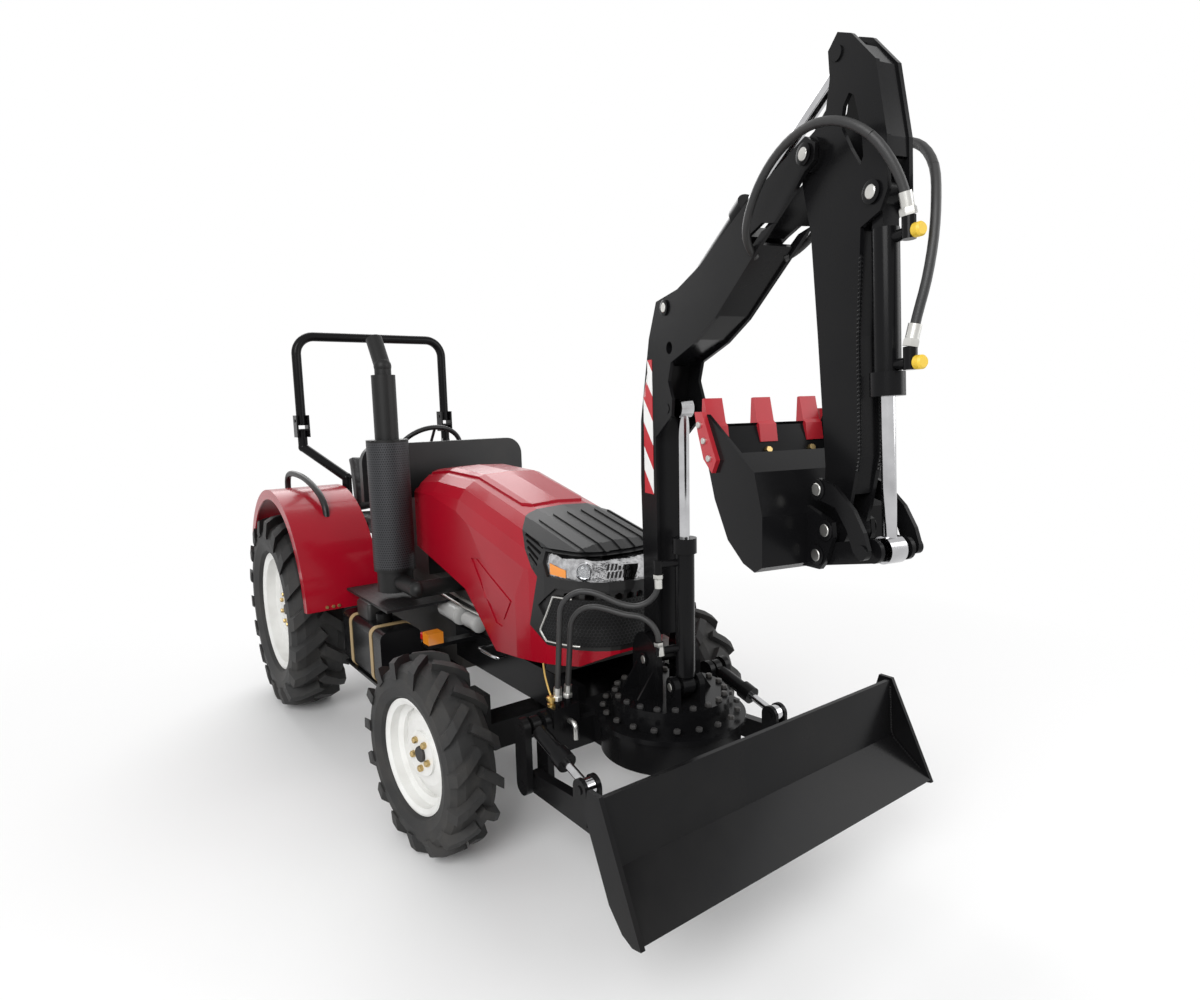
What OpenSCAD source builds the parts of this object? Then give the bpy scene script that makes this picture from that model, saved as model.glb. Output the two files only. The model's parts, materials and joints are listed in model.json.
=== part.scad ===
// Compact farm tractor with a front slewing digging arm and a front dozer blade.
// Millimetres, +X forward, +Y to the driver's left, +Z up, ground at zero.
// Draws every sub-part, or one of them when node is set.

/* [Layout] */
// front axle ahead of the origin
axle_ahead = 433; // [380:1:480]
// front axle to rear axle
wheelbase = 1840; // [1800:5:1900]
// slew axis ahead of the front axle
slew_ahead = 690; // [670:1:720]
// arm turned to the driver's right at rest, degrees
slew_rest = 13; // [0:1:20]
// front wheels turned to the left at rest, degrees
steer_rest = 6; // [0:1:10]

/* [Front wheels] */
// front tyre outside diameter over the lugs
front_tyre_d = 750; // [736:2:764]
// front tyre width
front_tyre_w = 190; // [176:2:200]
// front rim bead seat diameter
front_bead_d = 404; // [396:1:412]
// front wheel track
front_track = 1232; // [1216:2:1260]
// lugs on each side of a front tyre
front_lugs = 15; // [12:1:17]

/* [Rear wheels] */
// rear tyre outside diameter over the lugs
rear_tyre_d = 1090; // [1076:2:1104]
// rear tyre width
rear_tyre_w = 285; // [270:1:296]
// rear rim bead seat diameter
rear_bead_d = 610; // [596:2:624]
// rear wheel track
rear_track = 1244; // [1236:2:1270]
// lugs on each side of a rear tyre
rear_lugs = 18; // [15:1:20]

/* [Hood] */
// hood length from the hinge end to the nose
hood_l = 1440; // [1420:5:1450]
// hood width at its foot
hood_w = 550; // [520:5:570]
// height of the hood's hinge end
hood_top = 1382; // [1352:5:1402]
// height of the hood's lowest edge
hood_low = 672; // [662:5:692]
// sheet thickness of the hood
hood_wall = 12; // [8:1:16]

/* [Digging arm] */
// boom foot to boom tip, along the arm
boom_reach = 805; // [790:1:820]
// boom foot to boom tip, upward
boom_rise = 1420; // [1400:2:1440]
// outside width of the boom
boom_w = 120; // [116:1:126]
// dipper pivot to bucket pivot, upward
dipper_drop = 838; // [820:1:850]
// outside width of the dipper
dipper_w = 68; // [64:1:72]
// bucket width over its side plates
bucket_w = 380; // [340:2:420]
// radius of the arm's main pins
pin_r = 16; // [13:0.5:18]

/* [Dozer blade] */
// blade width over its end plates
blade_w = 1280; // [1240:5:1320]
// blade height along the mouldboard's rise
blade_h = 307; // [290:1:320]
// how far the blade's edge stands above the ground at rest
blade_lift = 374; // [362:1:382]

/* [Driver's place] */
// width of the roll bar
rops_w = 917; // [900:1:940]
// height of the roll bar's top
rops_top = 2132; // [2082:5:2182]
// height of the seat cushion's top
seat_top = 1042; // [1022:5:1062]
// height of the dash shield's top
dash_top = 1492; // [1462:5:1512]
// width of the dash shield
dash_w = 900; // [860:5:920]

/* [Hidden] */
$fn = 64;

red = [0.62, 0.03, 0.06];
black = [0.05, 0.05, 0.055];
dark = [0.12, 0.12, 0.13];
white = [0.86, 0.86, 0.85];
steel = [0.75, 0.76, 0.78];
rubber = [0.07, 0.07, 0.07];
amber = [0.9, 0.45, 0.05];

// overrun of every cut
over = 4;
// gap between pieces that turn against each other
clear = 0.3;
// side gap between plates of different bodies
side_gap = 3;
// radial play of a shaft in its own bore
run_gap = 0.05;
// half of anything
half_share = 0.5;

// places along the tractor
front_x = axle_ahead;
rear_x = axle_ahead - wheelbase;
slew_x = axle_ahead + slew_ahead;
front_z = front_tyre_d / 2;
rear_z = rear_tyre_d / 2;

// shared helpers: outlines lie in the X and Z plane and are drawn to a width across Y
function scaled(shares, sx, sz) = [for (p = shares) [p[0] * sx, p[1] * sz]];
module across(outline, w) {
    rotate([90, 0, 0]) linear_extrude(height = w, center = true) polygon(outline);
}
module cross_pin(r, w) {
    rotate([90, 0, 0]) cylinder(r = r, h = w, center = true);
}
module both_sides(y) {
    for (s = [-1, 1]) translate([0, s * y, 0]) children();
}
module block(size, place) {
    translate(place) cube(size, center = true);
}
module tube_between(a, b, r) {
    d = b - a;
    l = norm(d);
    translate(a) rotate([0, acos(d[2] / l), atan2(d[1], d[0])]) cylinder(r = r, h = l);
}

// wheels are drawn about Z and laid down so that their outer side faces away from the tractor
module lay_wheel(side) {
    rotate([side > 0 ? -90 : 90, 0, 0]) children();
}
tyre_shares = [[0.0, 0.30], [0.11, 0.32], [0.2, 0.44], [0.45, 0.5], [0.7, 0.49], [0.86, 0.42], [0.95,
    0.28], [0.97, 0]];
tyre_wall_share = 0.72;
// lug envelope: shares of the section height and the width
crown_shares = [[0.30, 0.515], [0.62, 0.53], [0.90, 0.49], [0.972, 0.32], [1.0, 0.0]];
lug_h_share = 0.072;
lug_t_share = 0.17;
lug_len_share = 0.80;
lug_side_share = 0.29;
lug_turn = 40;
module tyre_section(r_in, r_out, w, f, shares) {
    d = r_out - r_in;
    up = [for (p = shares) [r_in + p[0] * d * f, p[1] * w * f]];
    down = [for (i = [len(up) - 2 : -1 : 0]) [up[i][0], -up[i][1]]];
    polygon(concat(up, down));
}
module tyre(d, w, bead, lugs) {
    r = d / 2;
    rb = bead / 2;
    lug_h = d * lug_h_share / 2;
    carcass_r = r - lug_h;
    lug_t = w * lug_t_share;
    lug_len = w * lug_len_share;
    difference() {
        union() {
            rotate_extrude() tyre_section(rb, carcass_r, w, 1, tyre_shares);
            intersection() {
                rotate_extrude() tyre_section(rb, r, w, 1, crown_shares);
                for (s = [-1, 1], i = [0 : lugs - 1]) {
                    turn = (i + (s > 0 ? half_share : 0)) * 360 / lugs;
                    rotate([0, 0, turn]) translate([r - lug_h, 0, s * w * lug_side_share])
                        rotate([s * lug_turn, 0, 0]) cube([4 * lug_h, lug_t, lug_len], center = true);
                }
            }
        }
        rotate_extrude() translate([-over, 0])
            tyre_section(rb, carcass_r, w, tyre_wall_share, tyre_shares);
        cylinder(r = rb, h = 2 * w, center = true);
    }
}

// rim outlines as shares of the bead radius and half the rim's width
rim_shares = [[1.09, 1], [1.06, 0.90], [1, 0.86], [1, 0.45], [0.88, 0.32], [0.88, -0.32], [1, -0.45],
    [1, -0.86],
    [1.06, -0.90], [1.09, -1], [1.05, -1.03], [0.965, -0.90], [0.965, -0.42], [0.845, -0.27], [0.845,
        0.27],
    [0.965, 0.42], [0.965, 0.90], [1.05, 1.03]];
disc_shares = [[0.86, 0.0], [0.62, 0.30], [0.40, 0.34], [0.40, 0.24], [0.60, 0.20], [0.86, -0.10]];
rim_w_share = 0.74;
hub_r_share = 0.42;
module rim(bead, w, bore_r) {
    rb = bead / 2;
    hw = w * rim_w_share / 2;
    rotate_extrude() polygon([for (p = rim_shares) [p[0] * rb, p[1] * hw]]);
    rotate_extrude() polygon([for (p = disc_shares) [p[0] * rb, p[1] * hw]]);
    difference() {
        translate([0, 0, -hub_back_share * hw])
            cylinder(r = hub_r_share * rb, h = (hub_back_share + hub_out_share) * hw);
        translate([0, 0, -hub_back_share * hw - over])
            cylinder(r = bore_r, h = hub_back_share * hw + hub_in_share * hw + over);
    }
}
hub_back_share = 0.3;
hub_out_share = 0.5;
hub_in_share = 0.3;
spindle_r = 28;
rear_shaft_r = 40;

// steering: the kingpin stands inside the wheel, and knuckle and wheel turn about it
kingpin_in = 116;
kingpin_y = front_track / 2 - kingpin_in;
kingpin_r = 24;
knuckle_h = 210;
knuckle_r = 58;
module steered(side) {
    translate([front_x, side * kingpin_y, front_z]) rotate([0, 0, steer_rest]) children();
}
module knuckle(side) {
    spindle_l = kingpin_in + hub_in_share * front_tyre_w * rim_w_share / 2 - side_gap;
    arm_l = 130;
    arm_t = 24;
    steered(side) {
        difference() {
            union() {
                translate([0, 0, -knuckle_h * knuckle_low_share]) cylinder(r = knuckle_r, h = knuckle_h);
                lay_wheel(side) cylinder(r = spindle_r, h = spindle_l);
                lay_wheel(side) cylinder(r = knuckle_r,
                    h = kingpin_in - hub_back_share * front_tyre_w * rim_w_share / 2 - side_gap);
                block([arm_l, knuckle_r, arm_t], [-arm_l / 2, 0, knuckle_h * knuckle_arm_share]);
            }
            translate([0, 0, knuckle_h * (1 - knuckle_low_share) - kingpin_bite])
                cylinder(r = kingpin_r + run_gap, h = kingpin_bite + over);
        }
    }
}
knuckle_low_share = 0.45;
knuckle_arm_share = -0.3;
kingpin_bite = 70;
module knuckle_left() color(dark) knuckle(1);
module knuckle_right() color(dark) knuckle(-1);
module front_wheel_place(side) {
    steered(side) translate([0, side * kingpin_in, 0]) lay_wheel(side) children();
}
module front_rim_left() color(white) front_wheel_place(1)
    rim(front_bead_d, front_tyre_w, spindle_r + run_gap);
module front_rim_right() color(white) front_wheel_place(-1)
    rim(front_bead_d, front_tyre_w, spindle_r + run_gap);
module front_tyre_left() color(rubber) front_wheel_place(1) mirror([0, 1, 0])
    tyre(front_tyre_d, front_tyre_w, front_bead_d, front_lugs);
module front_tyre_right() color(rubber) front_wheel_place(-1)
    tyre(front_tyre_d, front_tyre_w, front_bead_d, front_lugs);
module rear_wheel_place(side) {
    translate([rear_x, side * rear_track / 2, rear_z]) lay_wheel(side) children();
}
module rear_rim_left() color(white) rear_wheel_place(1)
    rim(rear_bead_d, rear_tyre_w, rear_shaft_r + run_gap);
module rear_rim_right() color(white) rear_wheel_place(-1)
    rim(rear_bead_d, rear_tyre_w, rear_shaft_r + run_gap);
module rear_tyre_left() color(rubber) rear_wheel_place(1) mirror([0, 1, 0])
    tyre(rear_tyre_d, rear_tyre_w, rear_bead_d, rear_lugs);
module rear_tyre_right() color(rubber) rear_wheel_place(-1)
    tyre(rear_tyre_d, rear_tyre_w, rear_bead_d, rear_lugs);

// tractor frame
rail_y = 190;
rail_t = 30;
rail_h = 150;
rail_z = 572;
rail_front = 425;
rail_back = 600;
axle_beam_h = 110;
axle_beam_w = 130;
axle_top_h = 60;
module chassis() color(black) translate([front_x, 0, 0]) {
    both_sides(rail_y) block([rail_front + rail_back, rail_t, rail_h], [(rail_front - rail_back) / 2,
        0, rail_z]);
    block([rail_plate_l, 2 * rail_y, rail_t], [rail_front - rail_plate_l / 2, 0,
        rail_z - rail_h / 2 + rail_t / 2]);
    block([saddle_l, 2 * rail_y, rail_t], [0, 0, rail_z - rail_h / 2 + rail_t / 2]);
    block([saddle_l, axle_beam_w, saddle_h], [0, 0, rail_z - rail_h / 2 - saddle_h / 2]);
    block([lamp_l, -lamp_y - rail_y + lamp_w / 2, lamp_arm_t], [lamp_x,
        (lamp_y - lamp_w / 2 - rail_y) / 2, lamp_arm_z]);
}
rail_plate_l = 330;
saddle_l = 180;
saddle_h = rail_z - rail_h / 2 - front_z - axle_beam_h / 2;
module front_axle() color(black) translate([front_x, 0, front_z]) {
    arm_y = kingpin_y;
    block([axle_beam_w, 2 * (kingpin_y - knuckle_r - axle_gap), axle_beam_h], [0, 0, 0]);
    both_sides(arm_y) {
        translate([0, 0, knuckle_h * (1 - knuckle_low_share) + clear])
            cylinder(r = knuckle_r, h = axle_top_h);
        translate([0, 0, knuckle_h * (1 - knuckle_low_share) - kingpin_bite + side_gap])
            cylinder(r = kingpin_r, h = kingpin_bite + axle_top_h - side_gap);
    }
    for (s = [-1, 1]) block([axle_beam_w, knuckle_r + 2 * axle_gap + axle_web, axle_top_h],
        [0, s * (arm_y - knuckle_r / 2 - axle_gap - axle_web / 2 + axle_gap),
            knuckle_h * (1 - knuckle_low_share) + clear + axle_top_h / 2]);
    translate([-axle_beam_w / 2 - diff_l, diff_y, 0]) rotate([0, 90, 0])
        cylinder(r = diff_r, h = axle_beam_w + diff_l + over);
    for (s = [-1, 1]) block([axle_beam_w, axle_web,
        knuckle_h * (1 - knuckle_low_share) + clear + axle_top_h],
        [0, s * (arm_y - knuckle_r - axle_gap - axle_web / 2),
            (knuckle_h * (1 - knuckle_low_share) + clear + axle_top_h) / 2]);
}
diff_r = 100;
diff_l = 60;
diff_y = 175;
axle_gap = 14;
axle_web = 50;
engine_l = 620;
engine_w = 330;
engine_h = 460;
module engine() color(dark) translate([front_x - engine_back, 0, 0]) {
    block([engine_l, engine_w, engine_h], [0, 0, rail_z - rail_h / 2 + rail_t + engine_h / 2]);
    block([rad_t, rad_w, rad_h], [rad_ahead, 0, rail_z + rail_h / 2 + rad_h / 2]);
}
engine_back = 330;
rad_t = 70;
rad_w = 400;
rad_h = 420;
rad_ahead = 560;
gear_w = 320;
gear_h = 420;
axle_house_r = 95;
pto_r = 17.5;
pto_l = 90;
module transmission() color(dark) {
    gear_front = front_x - engine_back - engine_l / 2;
    gear_back = rear_x - gear_tail;
    block([gear_front - gear_back, gear_w, gear_h], [(gear_front + gear_back) / 2, 0, rear_z + gear_up]);
    translate([rear_x, 0, rear_z]) {
        cross_pin(axle_house_r, rear_track - rear_tyre_w * rim_w_share - 2 * side_gap);
        cross_pin(rear_shaft_r, rear_track + rear_tyre_w * rim_w_share * hub_in_share - 2 * side_gap);
    }
    translate([gear_back - pto_l, 0, pto_z]) rotate([0, 90, 0]) cylinder(r = pto_r, h = pto_l + over);
}
gear_tail = 230;
gear_up = 70;
pto_z = 542;

// driver's place
fender_in = 330;
fender_out = 720;
fender_wall = 8;
fender_r = 622;
fender_up = 60;
fender_lip = 46;
fender_from = 5;
fender_to = 150;
module fender_band(r, t, y0, w) {
    rotate([90, 0, 0]) rotate([0, 0, fender_from]) rotate_extrude(angle = fender_to - fender_from)
        translate([r, -y0 - w]) square([t, w]);
}
module fenders() color(red) for (m = [0, 1]) mirror([0, m, 0])
    translate([rear_x, 0, rear_z + fender_up]) {
    $fn = 240;
    fender_band(fender_r, fender_wall, fender_in, fender_out - fender_in);
    fender_band(fender_r - fender_lip, fender_lip + fender_wall, fender_out - fender_wall, fender_wall);
    difference() {
        fender_band(fender_hole_r, fender_r + fender_wall - fender_hole_r, fender_in, fender_wall);
        translate([0, 0, -fender_up]) cross_pin(axle_house_r + clear, 4 * fender_in);
    }
}
fender_hole_r = 30;
floor_z = 752;
floor_t = 12;
floor_l = 576;
floor_w = 1030;
module floor() color(black) translate([rear_x, 0, 0]) {
    difference() {
        block([floor_l, floor_w, floor_t], [floor_ahead, 0, floor_z]);
        block([floor_l + 2 * over, gear_w, floor_t + over], [floor_ahead, 0, floor_z]);
    }
    both_sides(gear_w / 2 + floor_t) block([floor_l, 2 * floor_t, floor_web], [floor_ahead, 0,
        floor_z - floor_web / 2]);
}
floor_ahead = 907;
floor_web = 120;
dash_x = -1070;
dash_t = 40;
dash_round = 90;
console_l = 260;
console_w = 360;
column_r = 22;
wheel_r = 190;
wheel_bar_r = 13;
module dash() color(dark) translate([front_x, 0, 0]) {
    translate([dash_x, 0, 0]) rotate([90, 0, 90]) linear_extrude(height = dash_t, center = true)
        difference() {
        union() {
            translate([-dash_w / 2, dash_low]) square([dash_w, dash_top - dash_low - dash_round]);
            translate([-dash_w / 2 + dash_round, dash_low])
                square([dash_w - 2 * dash_round, dash_top - dash_low]);
            for (s = [-1, 1]) translate([s * (dash_w / 2 - dash_round), dash_top - dash_round])
                circle(r = dash_round);
        }
    }
    block([console_l, console_w, dash_low - console_low + over], [dash_x, 0,
        (dash_low + over + console_low) / 2]);
    difference() {
        both_sides(hood_lug_y) block([hood_pin_x - dash_x + hood_lug_h / 2, hood_lug_t, hood_lug_h],
            [(hood_pin_x + dash_x + hood_lug_h / 2) / 2, 0, hood_pin_z]);
        translate([hood_pin_x, 0, hood_pin_z]) cross_pin(hood_pin_r + clear, hood_w);
    }
    tube_between([dash_x, 0, column_low], [dash_x - column_run, 0, column_low + column_rise], column_r);
    translate([dash_x - column_run, 0, column_low + column_rise])
        rotate([0, -atan2(column_run, column_rise), 0]) {
        rotate_extrude() translate([wheel_r, 0]) circle(r = wheel_bar_r);
        for (i = [0 : 2]) rotate([0, 0, i * 120]) rotate([0, 90, 0])
            cylinder(r = wheel_bar_r * spoke_share, h = wheel_r);
        cylinder(r = 2 * column_r, h = 2 * column_r, center = true);
    }
}
spoke_share = 0.6;
dash_low = 1212;
console_low = rear_z + gear_up + gear_h / 2;
column_low = 1232;
column_run = 230;
column_rise = 180;
seat_x = -1790;
seat_l = 430;
seat_w = 450;
seat_t = 110;
seat_back_h = 400;
seat_back_t = 90;
seat_back_w = 430;
module seat() color(dark) translate([front_x + seat_x, 0, 0]) {
    block([seat_l, seat_w, seat_t], [0, 0, seat_top - seat_t / 2]);
    translate([-seat_l / 2, 0, seat_top - seat_t / 2]) rotate([0, -seat_lean, 0])
        block([seat_back_t, seat_back_w, seat_back_h], [seat_back_t / 2, 0, seat_back_h / 2]);
    block([seat_l * half_share, seat_w * half_share, seat_top - seat_t - seat_foot], [0, 0,
        (seat_top - seat_t + seat_foot) / 2]);
}
seat_lean = 10;
seat_foot = rear_z + gear_up + gear_h / 2;
rops_x = -2070;
rops_r = 27;
rops_pin_z = 1610;
rops_fold_z = 1562;
rops_bend_z = 1452;
rops_foot_x = -1840;
rops_foot_y = 285;
rops_foot_z = 1272;
rops_pad = 120;
rops_corner = 105;
bend_share = 1.06;
hinge_t = 10;
hinge_w = 76;
hinge_h = 130;
module rops_posts() color(black) translate([front_x, 0, 0]) for (m = [0, 1]) mirror([0, m, 0]) {
    top = [rops_x, rops_w / 2, rops_fold_z - clear];
    bend = [rops_x, rops_w / 2, rops_bend_z];
    foot = [rops_foot_x, rops_foot_y, rops_foot_z];
    tube_between(bend, top, rops_r);
    translate(bend) sphere(r = rops_r * bend_share);
    tube_between(bend, foot, rops_r);
    translate(foot) sphere(r = rops_r * bend_share);
    tube_between([rops_foot_x, rops_foot_y, rear_z + axle_house_r], foot, rops_r);
    difference() {
        block([rops_pad, 2 * rops_r, rops_pad], [rops_foot_x, rops_foot_y, rear_z + axle_house_r]);
        translate([-wheelbase, rops_foot_y, rear_z]) cross_pin(axle_house_r, 4 * rops_r);
    }
    difference() {
        for (s = [-1, 1]) block([hinge_w, hinge_t, hinge_h], [rops_x,
            rops_w / 2 + s * (rops_r + clear + hinge_t / 2), rops_pin_z - hinge_h * hinge_low_share]);
        translate([rops_x, rops_w / 2, rops_pin_z]) cross_pin(rops_pin_r, 4 * rops_r);
    }
    block([hinge_w, 2 * rops_r + 2 * clear + hinge_t, hinge_t], [rops_x, rops_w / 2,
        rops_fold_z - clear - hinge_t / 2]);
}
hinge_low_share = 0.25;
rops_pin_r = 9;
module rops_bar() color(black) translate([front_x + rops_x, 0, 0]) {
    $fn = 128;
    difference() {
        union() {
            for (s = [-1, 1]) translate([0, s * rops_w / 2, rops_pin_z - rops_r])
                cylinder(r = rops_r, h = rops_top - rops_r - rops_corner - rops_pin_z + rops_r);
            for (m = [0, 1]) mirror([0, m, 0])
                translate([0, rops_w / 2 - rops_corner, rops_top - rops_r - rops_corner])
                rotate([90, 0, 90]) rotate_extrude(angle = 90) translate([rops_corner, 0])
                    circle(r = rops_r);
            translate([0, 0, rops_top - rops_r]) cross_pin(rops_r, rops_w - 2 * rops_corner);
        }
    }
    for (s = [-1, 1]) translate([0, s * rops_w / 2, rops_pin_z])
        cross_pin(rops_pin_r - run_gap, 2 * rops_r + 2 * clear + 2 * hinge_t + 2 * over);
}
exhaust_x = -850;
exhaust_y = -390;
guard_r = 97;
guard_low = 902;
guard_mid = 1522;
stack_r = 55;
stack_top = 1822;
pipe_r = 38;
module exhaust() color(dark) translate([front_x + exhaust_x, exhaust_y, 0]) {
    translate([0, 0, bowl_low]) cylinder(r = bowl_r, h = guard_low - bowl_low + over);
    translate([0, 0, guard_low]) cylinder(r = guard_r, h = guard_mid - guard_low);
    translate([0, 0, guard_mid]) cylinder(r = stack_r, h = stack_top - guard_mid);
    translate([0, 0, stack_top - over]) cylinder(r = pipe_r, h = pipe_up + over);
    translate([0, 0, stack_top + pipe_up]) sphere(r = pipe_r * bend_share);
    tube_between([0, 0, stack_top + pipe_up], [-pipe_run, 0, stack_top + pipe_up + pipe_rise], pipe_r);
    tube_between([0, 0, elbow_z], [elbow_run, 0, elbow_z], pipe_r);
    translate([elbow_run, 0, elbow_z]) sphere(r = pipe_r * bend_share);
    tube_between([elbow_run, 0, elbow_z], [elbow_run, -exhaust_y - engine_w / 2, elbow_z], pipe_r);
}
bowl_r = 84;
bowl_low = 800;
elbow_z = 848;
elbow_run = 270;
pipe_up = 40;
pipe_run = 90;
pipe_rise = 130;
tank_l = 530;
tank_w = 190;
tank_h = 255;
tank_x = -865;
tank_y = -475;
tank_z = 544;
module tank() color(dark) translate([front_x + tank_x, 0, 0]) {
    translate([0, tank_y, tank_z]) rotate([0, 90, 0]) linear_extrude(height = tank_l, center = true)
        tank_face();
    translate([tank_l * cap_share, tank_y, tank_z + tank_h / 2]) cylinder(r = cap_r, h = cap_h);
    block([tank_l, -tank_y + tank_w / 2 - gear_w / 2, floor_t], [0,
        (tank_y - tank_w / 2 - gear_w / 2) / 2, tank_z - tank_h / 2 - floor_t / 2]);
}
cap_share = 0.12;
cap_r = 38;
cap_h = 40;
tank_round = 34;
module tank_face() {
    square([tank_h - 2 * tank_round, tank_w], center = true);
    square([tank_h, tank_w - 2 * tank_round], center = true);
    for (i = [-1, 1], j = [-1, 1]) translate([i * (tank_h / 2 - tank_round),
        j * (tank_w / 2 - tank_round)]) circle(r = tank_round);
}
module side_lamp() color(amber) translate([front_x + lamp_x, lamp_y, lamp_arm_z + lamp_arm_t / 2])
    block([lamp_l, lamp_w, lamp_h], [0, 0, lamp_h / 2]);
lamp_x = -410;
lamp_y = -400;
lamp_arm_z = 637;
lamp_arm_t = 16;
lamp_l = 60;
lamp_w = 70;
lamp_h = 50;
link_y = 330;
link_l = 594.5;
link_t = 20;
link_h = 60;
link_z = 452;
link_eye_r = 14;
link_ball_r = 42;
module hitch() color(dark) translate([rear_x - gear_tail, 0, 0]) {
    for (s = [-1, 1]) difference() {
        union() {
            block([link_l, link_t, link_h], [-link_l / 2 + link_in, s * link_y, link_z]);
            translate([-link_l + link_in, s * link_y, link_z]) cross_pin(link_ball_r, link_t + over);
            block([link_t, link_y + link_t / 2 - gear_w / 2, link_h],
                [link_in, s * (link_y + link_t / 2 + gear_w / 2) / 2, link_z]);
        }
        translate([-link_l + link_in, s * link_y, link_z]) cross_pin(link_eye_r, 2 * link_t + over);
    }
    difference() {
        block([drawbar_l, drawbar_w, drawbar_t], [-drawbar_l / 2 + drawbar_in, 0, drawbar_z]);
        translate([-drawbar_l + drawbar_in + drawbar_w / 2, 0, drawbar_z])
            cylinder(r = drawbar_hole_r, h = drawbar_t + over, center = true);
    }
    block([drawbar_in, drawbar_w, gear_drop], [drawbar_in / 2, 0, drawbar_z + gear_drop / 2]);
}
link_in = 120;
drawbar_l = 420;
drawbar_w = 80;
drawbar_t = 30;
drawbar_in = 180;
drawbar_z = 322;
drawbar_hole_r = 15;
gear_drop = rear_z + gear_up - gear_h / 2 - drawbar_z;

// front mounting frame, slew drum and the blade's brackets
drum_r = 245;
drum_low = 472;
drum_h = 125;
ring_r = 205;
ring_h = 45;
flange_r = 262;
flange_h = 16;
drum_top = drum_low + drum_h;
module slew_base() color(black) {
    drum();
    blade_brackets();
    valve();
}
// hand valve of the arm's hoses, seated on the right beam
valve_l = 50;
valve_w = 104;
valve_h = 66;
valve_y = -322;
nipple_r = 13;
nipple_h = 22;
nipple_gap = 42;
module valve() translate([front_x + bracket_x + beam_l / 2, valve_y, drum_low + beam_h]) {
    block([valve_l, valve_w, valve_h + over], [0, 0, (valve_h - over) / 2]);
    both_sides(nipple_gap / 2) cylinder(r = nipple_r, h = valve_h + nipple_h);
}
module drum() translate([slew_x, 0, 0]) {
    translate([0, 0, drum_top - flange_h]) cylinder(r = flange_r, h = flange_h);
    translate([0, 0, drum_low]) cylinder(r = drum_r, h = drum_h);
    translate([0, 0, drum_top]) cylinder(r = ring_r, h = ring_h);
    block([slew_ahead - rail_front, 2 * rail_y + rail_t, drum_h], [-(slew_ahead - rail_front) / 2, 0,
        drum_low + drum_h / 2]);
}
bracket_y = 430;
bracket_t = 24;
bracket_gap = 60;
bracket_x = 480;
bracket_up_z = 588;
bracket_low_z = 389;
bracket_r = 36;
blade_pin_r = 14;
module blade_brackets() translate([front_x, 0, 0]) {
    for (s = [-1, 1]) {
        for (k = [-1, 1]) translate([0, s * bracket_y + k * (bracket_gap + bracket_t) / 2, 0]) {
            block([2 * bracket_r, bracket_t, bracket_up_z - bracket_low_z], [bracket_x, 0,
                (bracket_up_z + bracket_low_z) / 2]);
            translate([bracket_x, 0, bracket_up_z]) cross_pin(bracket_r, bracket_t);
            translate([bracket_x, 0, bracket_low_z]) cross_pin(bracket_r, bracket_t);
        }
        translate([bracket_x, s * bracket_y, bracket_up_z])
            cross_pin(blade_pin_r, bracket_gap + 2 * bracket_t + over);
        translate([bracket_x, s * bracket_y, bracket_low_z])
            cross_pin(blade_pin_r, bracket_gap + 2 * bracket_t + over);
        block([beam_l, bracket_y - bracket_gap / 2 - rail_y, beam_h],
            [bracket_x + beam_l / 2, s * (bracket_y - bracket_gap / 2 + rail_y) / 2,
                drum_low + beam_h / 2]);
    }
}
beam_l = 36;
beam_h = 100;

// hood: sections along each slope of its top, a side outline and a plan meet, then the inside is taken out
hood_x = -900;
hood_pin_x = -880;
hood_pin_z = 1202;
hood_pin_r = 8;
hood_lug_y = 150;
hood_lug_t = 14;
hood_lug_h = 44;
hood_rise = hood_top - hood_low;
// top line, each stretch sloping more than the one behind it
hood_top_shares = [[0, 0.965], [0.16, 0.995], [0.36, 0.975], [0.62, 0.845], [0.92, 0.69], [1, 0.60]];
hood_face_shares = [[0, 0.45], [0, 1.1], [1, 1.1], [1, 0.58], [0.985, 0.14]];
hood_under_shares = [[0.92, 0.07], [0.58, 0], [0.49, 0.14], [0.385, 0.29]];
hood_open_shares = [[0.98, -0.3], [0, -0.3]];
// cross section: a flattened arch, half its width and its height as shares, and the power that squares it
arch_half_share = 0.5;
arch_rise_share = 0.42;
arch_power_share = 0.6;
arch_foot_share = -2;
arch_steps = 12;
function arch_side(a) = sign(cos(a)) * pow(abs(cos(a)), arch_power_share);
function arch_shares() = concat([[-arch_half_share, arch_foot_share]],
    [for (i = [0 : arch_steps]) let (a = 180 * i / arch_steps)
        [-arch_half_share * arch_side(a), arch_rise_share * (pow(sin(a), arch_power_share) - 1)]],
    [[arch_half_share, arch_foot_share]]);
// plan: straight flanks and a nose drawn as one curve
plan_flank_shares = [[-0.01, -0.455], [0.55, -0.5], [0.70, -0.5]];
plan_nose_share = 0.985;
plan_round_share = 0.47;
plan_steps = 8;
function bend(a, b, c, t) = (1 - t) * (1 - t) * a + 2 * t * (1 - t) * b + t * t * c;
plan_half_shares = concat(plan_flank_shares, [for (i = [1 : plan_steps])
    bend(plan_flank_shares[2], [plan_nose_share, -plan_round_share], [1, 0], i / plan_steps)]);
hood_plan_shares = concat(plan_half_shares,
    [for (i = [len(plan_half_shares) - 2 : -1 : 0]) [plan_half_shares[i][0], -plan_half_shares[i][1]]]);
module hood_form(inset) {
    l = hood_l - 2 * inset;
    w = hood_w - 2 * inset;
    h = hood_rise - inset;
    under = inset > 0 ? hood_open_shares : hood_under_shares;
    line = scaled(hood_top_shares, l, h);
    translate([front_x + hood_x + inset, 0, hood_low]) intersection() {
        across(scaled(concat(hood_face_shares, under), l, h), hood_w);
        linear_extrude(height = 4 * hood_rise, center = true) polygon(scaled(hood_plan_shares, l, w));
        intersection_for (i = [0 : len(line) - 2]) hood_slope(line[i], line[i + 1], w, h);
    }
}
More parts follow.
